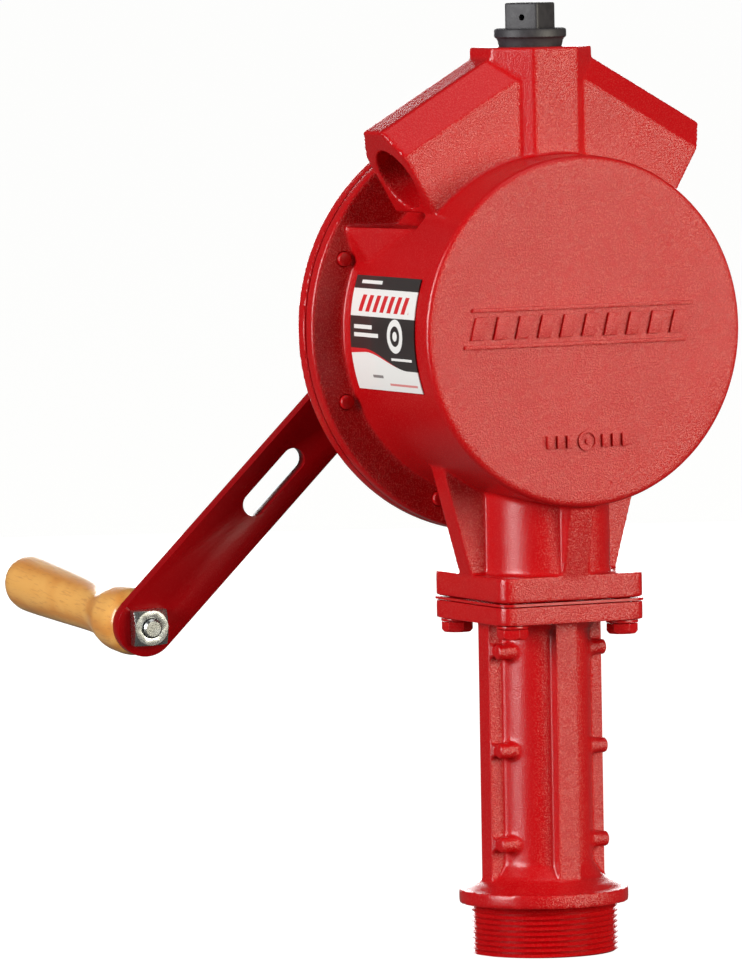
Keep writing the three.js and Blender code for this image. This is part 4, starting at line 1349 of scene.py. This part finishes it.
for step in range(BEND_STEPS):
    bend_at = CRANK_BEND * math.cos(lean) + BEND_STEP * (step - 1)
    deselect()
    bpy.context.view_layer.objects.active = arm
    bpy.ops.object.mode_set(mode="EDIT")
    bpy.ops.mesh.select_mode(type="VERT")
    bpy.ops.mesh.select_all(action="SELECT")
    bpy.ops.mesh.bisect(plane_co=(bend_at * MM, 0, 0), plane_no=(1, 0, 0))
    bpy.ops.mesh.select_all(action="DESELECT")
    bpy.ops.object.mode_set(mode="OBJECT")
    for vertex in arm.data.vertices:
        vertex.select = vertex.co.x > (bend_at + 0.05) * MM
    bpy.ops.object.mode_set(mode="EDIT")
    bpy.ops.transform.rotate(
        value=lean / BEND_STEPS, orient_axis="Y", center_override=(bend_at * MM, 0, hub_face * MM)
    )
    bpy.ops.object.mode_set(mode="OBJECT")
arm.data.transform(crank_place)
smooth_faces(arm, 30)
arm_red = sprayed_red(
    "red powder coat on flat bar, darkened as painted shade", 0.05, 0.2, ARM_RED_WITH_PAINTED_SHADE, ARM_RED_DEEP_WITH_PAINTED_SHADE, 0.1, 0.03, 1.0
)
paint(arm, arm_red, "red_powder_coat", "crank", "crank_arm")


# ------------------------------------------------------------------ crank screw and washer
# Bright zinc plated hardware holds the arm on the shaft's square end. The plating has a faint blue
# and straw cast, and fine marks from the spanner.

bright_zinc, zinc_shader = new_material("bright zinc plate", "#c9cdd0", 0.24, 1.0)
zinc_place = add_node(bright_zinc, "ShaderNodeTexCoord")
cloud = add_node(
    bright_zinc,
    "ShaderNodeTexNoise",
    {"Vector": zinc_place.outputs["Object"], "Scale": 1 / (6 * MM), "Detail": 3.0},
)
plating_tint = add_node(
    bright_zinc,
    "ShaderNodeMix",
    {0: cloud.outputs["Fac"], 6: linear("#bcc6d2"), 7: linear("#d8d5c4")},
    data_type="RGBA",
)
scuff = add_node(
    bright_zinc,
    "ShaderNodeTexNoise",
    {"Vector": zinc_place.outputs["Object"], "Scale": 1 / (0.7 * MM), "Detail": 4.0, "Distortion": 0.8},
)
scuff_gloss = add_node(
    bright_zinc, "ShaderNodeMapRange", {"Value": scuff.outputs["Fac"], "To Min": 0.14, "To Max": 0.4}
)
zinc_bump = add_node(
    bright_zinc, "ShaderNodeBump", {"Distance": 0.008 * MM, "Height": scuff.outputs["Fac"]}
)
bright_zinc.node_tree.links.new(plating_tint.outputs[2], zinc_shader.inputs["Base Color"])
bright_zinc.node_tree.links.new(scuff_gloss.outputs["Result"], zinc_shader.inputs["Roughness"])
bright_zinc.node_tree.links.new(zinc_bump.outputs["Normal"], zinc_shader.inputs["Normal"])

crank_washer = round_bar("crank_plate_washer", 11, (0, 0, rear_face + 0.3), (0, 0, rear_face + 2), 96)
combine(crank_washer, "DIFFERENCE", round_bar("eye", 3.3, (0, 0, 0), (0, 0, 30), 32))
break_edges(crank_washer, 0.3, 3, 40)
crank_screw = round_bar("crank_hex_screw", 7.2, (0, 0, rear_face + 2.3), (0, 0, rear_face + 7.5), 6)
combine(
    crank_screw,
    "INTERSECT",
    round_bar("screw_cone", 15, (0, 0, rear_face - 2), (0, 0, rear_face + 7.51), 64, 6.1),
)
break_edges(crank_screw, 0.3, 3, 25)
combine(
    crank_screw, "UNION", round_bar("screw_shank", 3, (0, 0, rear_face - 14), (0, 0, rear_face + 3), 32)
)
for piece, node in ((crank_washer, "crank_washer"), (crank_screw, "crank_screw")):
    piece.data.transform(crank_place)
    smooth_faces(piece, 30)
    paint(piece, bright_zinc, "zinc_plate", "crank", node)


# ------------------------------------------------------------------ wood grip
# A beech handle turned on a lathe, with a swelling next to the arm and a gentle taper, under clear
# varnish. The pores run along it as fine dark dashes, and the year rings make broad soft stripes.

GRIP_REACH = 183
GRIP_FOOT = BAR_THICKNESS + 1.2
GRIP_END = BAR_THICKNESS + 135
HEAD_SEAT = GRIP_END - 11
HEAD_POCKET = 7.4
GRIP_BORE = 4.3
GRIP_BOLT = 4

grip_place = crank_place @ Matrix.Rotation(-lean, 4, "Y") @ Matrix.Translation((GRIP_REACH * MM, 0, 0))
grip = turned_solid(
    "turned_grip",
    (
        (11, GRIP_FOOT),
        (11.9, GRIP_FOOT + 0.4),
        (12.7, GRIP_FOOT + 1.6),
        (13.4, GRIP_FOOT + 3.4),
        (13.9, GRIP_FOOT + 6),
        (14.1, GRIP_FOOT + 9),
        (14.1, GRIP_FOOT + 17),
        (13.9, GRIP_FOOT + 20),
        (13.4, GRIP_FOOT + 23),
        (12.7, GRIP_FOOT + 26.5),
        (11.9, GRIP_FOOT + 30),
        (11.25, GRIP_FOOT + 33.5),
        (10.8, GRIP_FOOT + 38),
        (10.5, GRIP_FOOT + 44),
        (10.5, GRIP_FOOT + 51),
        (10.7, GRIP_FOOT + 59),
        (11.0, GRIP_FOOT + 69),
        (11.3, GRIP_FOOT + 79),
        (11.6, GRIP_FOOT + 89),
        (11.9, GRIP_FOOT + 100),
        (12.2, GRIP_FOOT + 111),
        (12.4, GRIP_FOOT + 121),
        (12.4, GRIP_FOOT + 126),
        (12.0, GRIP_FOOT + 129.4),
        (11.1, GRIP_FOOT + 132),
        (9.8, GRIP_FOOT + 133.4),
        (8.4, GRIP_END),
    ),
    128,
)
combine(
    grip,
    "DIFFERENCE",
    round_bar("bolt_bore", GRIP_BORE, (0, 0, 0), (0, 0, 160), 48),
    round_bar("head_pocket", HEAD_POCKET, (0, 0, HEAD_SEAT), (0, 0, GRIP_END + 10), 64),
)
grip.data.transform(grip_place)
smooth_faces(grip, 40)

BEECH_LIGHT = "#f2b35f"
BEECH_DARK = "#e19543"
PORE = "#c98447"
RING_SPACING = 5
# Beech pores are under a tenth of a millimetre wide, so they are drawn coarser to show.
PORE_WIDTH = 0.7
PORE_STRETCH = 12

varnished_beech, beech_shader = new_material("varnished beech", BEECH_LIGHT, 0.33)
beech_place = add_node(varnished_beech, "ShaderNodeTexCoord")
# The pattern is turned so that its Z runs along the grip's bolt.
along_grip = add_node(
    varnished_beech,
    "ShaderNodeMapping",
    {
        "Vector": beech_place.outputs["Object"],
        "Location": grip_place.to_translation(),
        "Rotation": grip_place.to_euler(),
    },
    vector_type="TEXTURE",
)
off_centre = add_node(
    varnished_beech,
    "ShaderNodeMapping",
    {
        "Vector": along_grip.outputs["Vector"],
        "Location": (9 * MM, 24 * MM, 0),
        "Rotation": (0.05, 0.03, 0),
    },
)
rings = add_node(
    varnished_beech,
    "ShaderNodeTexWave",
    {
        "Vector": off_centre.outputs["Vector"],
        "Scale": 0.32 / (RING_SPACING * MM),
        "Distortion": 2.5,
        "Detail": 2.0,
    },
    wave_type="RINGS",
    rings_direction="Z",
)
ring_tone = add_node(
    varnished_beech,
    "ShaderNodeMix",
    {0: rings.outputs["Fac"], 6: linear(BEECH_LIGHT), 7: linear(BEECH_DARK)},
    data_type="RGBA",
)
drawn_out = add_node(
    varnished_beech,
    "ShaderNodeMapping",
    {"Vector": along_grip.outputs["Vector"], "Scale": (1, 1, 1 / PORE_STRETCH)},
)
pores = add_node(
    varnished_beech,
    "ShaderNodeTexNoise",
    {"Vector": drawn_out.outputs["Vector"], "Scale": 1 / (PORE_WIDTH * MM), "Detail": 2.0},
)
pore_mask = add_node(
    varnished_beech,
    "ShaderNodeMapRange",
    {"Value": pores.outputs["Fac"], "From Min": 0.56, "From Max": 0.7, "To Min": 0.0, "To Max": 0.55},
)
wood_tone = add_node(
    varnished_beech,
    "ShaderNodeMix",
    {0: pore_mask.outputs["Result"], 6: ring_tone.outputs[2], 7: linear(PORE)},
    data_type="RGBA",
)
beech_bump = add_node(
    varnished_beech, "ShaderNodeBump", {
        "Strength": 0.4, "Distance": -0.05 * MM, "Height": pores.outputs["Fac"]
    }
)
varnished_beech.node_tree.links.new(wood_tone.outputs[2], beech_shader.inputs["Base Color"])
varnished_beech.node_tree.links.new(beech_bump.outputs["Normal"], beech_shader.inputs["Normal"])
beech_shader.inputs["Coat Weight"].default_value = 0.5
beech_shader.inputs["Coat Roughness"].default_value = 0.12
paint(grip, varnished_beech, "varnished_wood", "handle", "wood_handle")

# Its bolt passes through from a pocket in the end, and a square nut holds it at the arm's front.
NUT_SIDE = 14.5
NUT_HEIGHT = 5.6
BOLT_TIP = -7.8
BOLT_HEAD = 7

grip_bolt = turned_solid(
    "grip_bolt",
    (
        (3.2, BOLT_TIP),
        (GRIP_BOLT, BOLT_TIP + 0.8),
        (GRIP_BOLT, HEAD_SEAT + 0.3),
        (BOLT_HEAD, HEAD_SEAT + 0.31),
        (BOLT_HEAD, HEAD_SEAT + 2.4),
        (6.1, HEAD_SEAT + 3.6),
        (4.6, HEAD_SEAT + 4),
    ),
    48,
)
combine(
    grip_bolt, "DIFFERENCE", billet("driver_slot", (-8, -0.8, HEAD_SEAT + 2.2), (8, 0.8, HEAD_SEAT + 6))
)
nut_front = -NUT_HEIGHT - 0.3
nut = billet(
    "square_nut", (-NUT_SIDE / 2, -NUT_SIDE / 2, nut_front), (NUT_SIDE / 2, NUT_SIDE / 2, -0.3)
)
combine(
    nut,
    "INTERSECT",
    round_bar(
        "nut_cone", NUT_SIDE / 2 - 0.1, (0, 0, nut_front - 0.01), (0, 0, 2), 96, NUT_SIDE / 2 + 13
    ),
)
combine(nut, "DIFFERENCE", round_bar("nut_hole", GRIP_BOLT + 0.3, (0, 0, -20), (0, 0, 20), 48))
break_edges(nut, 0.35, 3, 20)
nut.data.transform(Matrix.Rotation(math.radians(90 - CRANK_ANGLE), 4, "Z"))
grip_washer = round_bar(
    "grip_plate_washer", 8, (0, 0, BAR_THICKNESS + 0.3), (0, 0, GRIP_FOOT - 0.3), 64
)
combine(grip_washer, "DIFFERENCE", round_bar("eye", 4.3, (0, 0, 0), (0, 0, 20), 48))
for piece, node in ((grip_bolt, "handle_bolt"), (nut, "handle_nut"), (grip_washer, "handle_washer")):
    piece.data.transform(grip_place)
    smooth_faces(piece, 30)
    paint(piece, bright_zinc, "zinc_plate", "crank", node)


# ------------------------------------------------------------------ rating label
# A printed polyester label stuck on the drum's left wall. It has plain bands, bars, a ring and a
# wave in place of words, in charcoal, white and red, under a clear gloss film.

LABEL_INNER = 71.4
LABEL_THICKNESS = 0.4
LABEL_REAR = 24.2
LABEL_FRONT = -33.8
LABEL_HALF_HEIGHT = 23.8
PRINT_HALF_HEIGHT = 23.4
CHARCOAL = "#35302f"
PRINT_WHITE = "#f6f4f0"
PRINT_RED = "#d8262b"

label = round_bar(
    "printed_rating_label",
    LABEL_INNER,
    (0, LABEL_FRONT, DRUM_HEIGHT),
    (0, LABEL_REAR, DRUM_HEIGHT),
    480,
)
bpy.ops.object.mode_set(mode="EDIT")
bpy.ops.mesh.select_mode(type="FACE")
bpy.ops.mesh.select_all(action="DESELECT")
bpy.ops.object.mode_set(mode="OBJECT")
for face in label.data.polygons:
    middle = face.center / MM
    spread = math.asin(min(1, abs(middle.z - DRUM_HEIGHT) / LABEL_INNER)) * LABEL_INNER
    face.select = abs(face.normal.y) > 0.5 or middle.x > 0 or spread > LABEL_HALF_HEIGHT
bpy.ops.object.mode_set(mode="EDIT")
bpy.ops.mesh.delete(type="FACE")
bpy.ops.object.mode_set(mode="OBJECT")
finish_with(label, "SOLIDIFY", thickness=LABEL_THICKNESS * MM, offset=1)
smooth_faces(label, 30)

printed_film, film_shader = new_material("printed polyester film", PRINT_WHITE, 0.28)
film_place = add_node(printed_film, "ShaderNodeTexCoord")
axes = add_node(printed_film, "ShaderNodeSeparateXYZ", {"Vector": film_place.outputs["Object"]})
across = add_node(
    printed_film,
    "ShaderNodeMapRange",
    {"Value": axes.outputs["Y"], "From Min": LABEL_REAR * MM, "From Max": LABEL_FRONT * MM},
).outputs["Result"]
down = add_node(
    printed_film,
    "ShaderNodeMapRange",
    {
        "Value": axes.outputs["Z"],
        "From Min": (DRUM_HEIGHT + PRINT_HALF_HEIGHT) * MM,
        "From Max": (DRUM_HEIGHT - PRINT_HALF_HEIGHT) * MM,
    },
).outputs["Result"]


def reckon(operation, *values):
    """A number worked out over the label from other numbers."""
    return add_node(
        printed_film, "ShaderNodeMath", dict(enumerate(values)), operation=operation
    ).outputs["Value"]


def patch(left, right, top, bottom):
    """One inside a rectangle of the label and nought outside, in parts of its width and height."""
    in_width = reckon("COMPARE", across, (left + right) / 2, (right - left) / 2)
    in_height = reckon("COMPARE", down, (top + bottom) / 2, (bottom - top) / 2)
    return reckon("MULTIPLY", in_width, in_height)


def print_over(under, ink, mask):
    """Lays an ink over what is already printed, where the mask is one."""
    return add_node(
        printed_film, "ShaderNodeMix", {0: mask, 6: under, 7: linear(ink)}, data_type="RGBA"
    ).outputs[2]


wave = add_node(
    printed_film,
    "ShaderNodeMapRange",
    {"Value": across, "From Min": 0.2, "From Max": 0.85, "To Min": 0.635, "To Max": 0.805},
    interpolation_type="SMOOTHSTEP",
).outputs["Result"]
stripe = add_node(
    printed_film,
    "ShaderNodeMapRange",
    {"Value": across, "From Min": 0.0, "From Max": 0.7, "To Min": 0.045, "To Max": 0.0},
).outputs["Result"]
block = reckon("MULTIPLY", reckon("GREATER_THAN", down, 0.355), reckon("LESS_THAN", down, wave))
red_edge = reckon(
    "MULTIPLY",
    reckon("GREATER_THAN", down, wave),
    reckon("LESS_THAN", down, reckon("ADD", wave, stripe)),
)
leaning = reckon("FRACT", reckon("MULTIPLY", reckon("MULTIPLY_ADD", down, 0.35, across), 9.0))
red_bars = reckon("MULTIPLY", reckon("LESS_THAN", leaning, 0.55), patch(0.12, 0.9, 0.17, 0.315))
ring_x = reckon("MULTIPLY", reckon("SUBTRACT", across, 0.7), LABEL_REAR - LABEL_FRONT)
ring_y = reckon("MULTIPLY", reckon("SUBTRACT", down, 0.51), 2 * LABEL_HALF_HEIGHT)
ring_distance = reckon(
    "SQRT", reckon("MULTIPLY_ADD", ring_x, ring_x, reckon("MULTIPLY", ring_y, ring_y))
)
printed_ring = reckon("COMPARE", ring_distance, 5.6, 1.4)
ring_dot = reckon("LESS_THAN", ring_distance, 2.0)

ink = print_over(linear(PRINT_WHITE), CHARCOAL, patch(-0.1, 1.1, -0.1, 0.118))
ink = print_over(ink, CHARCOAL, block)
ink = print_over(ink, PRINT_RED, red_edge)
ink = print_over(ink, PRINT_RED, red_bars)
for white in (
    patch(0.1, 0.42, 0.045, 0.075),
    patch(0.06, 0.34, 0.43, 0.465),
    patch(0.06, 0.44, 0.5, 0.535),
    patch(0.62, 0.94, 0.7, 0.722),
    printed_ring,
    ring_dot,
):
    ink = print_over(ink, PRINT_WHITE, white)
ink = print_over(ink, "#e58f8c", patch(0.52, 0.95, 0.925, 0.945))
ink = print_over(ink, "#8f8a88", patch(0.28, 0.44, 0.86, 0.885))
film_shader.inputs["Coat Weight"].default_value = 0.6
film_shader.inputs["Coat Roughness"].default_value = 0.08
ripple = add_node(
    printed_film, "ShaderNodeTexNoise", {"Vector": film_place.outputs["Object"], "Scale": 1 / (8 * MM)}
)
film_bump = add_node(
    printed_film, "ShaderNodeBump", {"Distance": 0.05 * MM, "Height": ripple.outputs["Fac"]}
)
printed_film.node_tree.links.new(ink, film_shader.inputs["Base Color"])
printed_film.node_tree.links.new(film_bump.outputs["Normal"], film_shader.inputs["Normal"])
paint(label, printed_film, "printed_label", "pump_body", "rating_label")
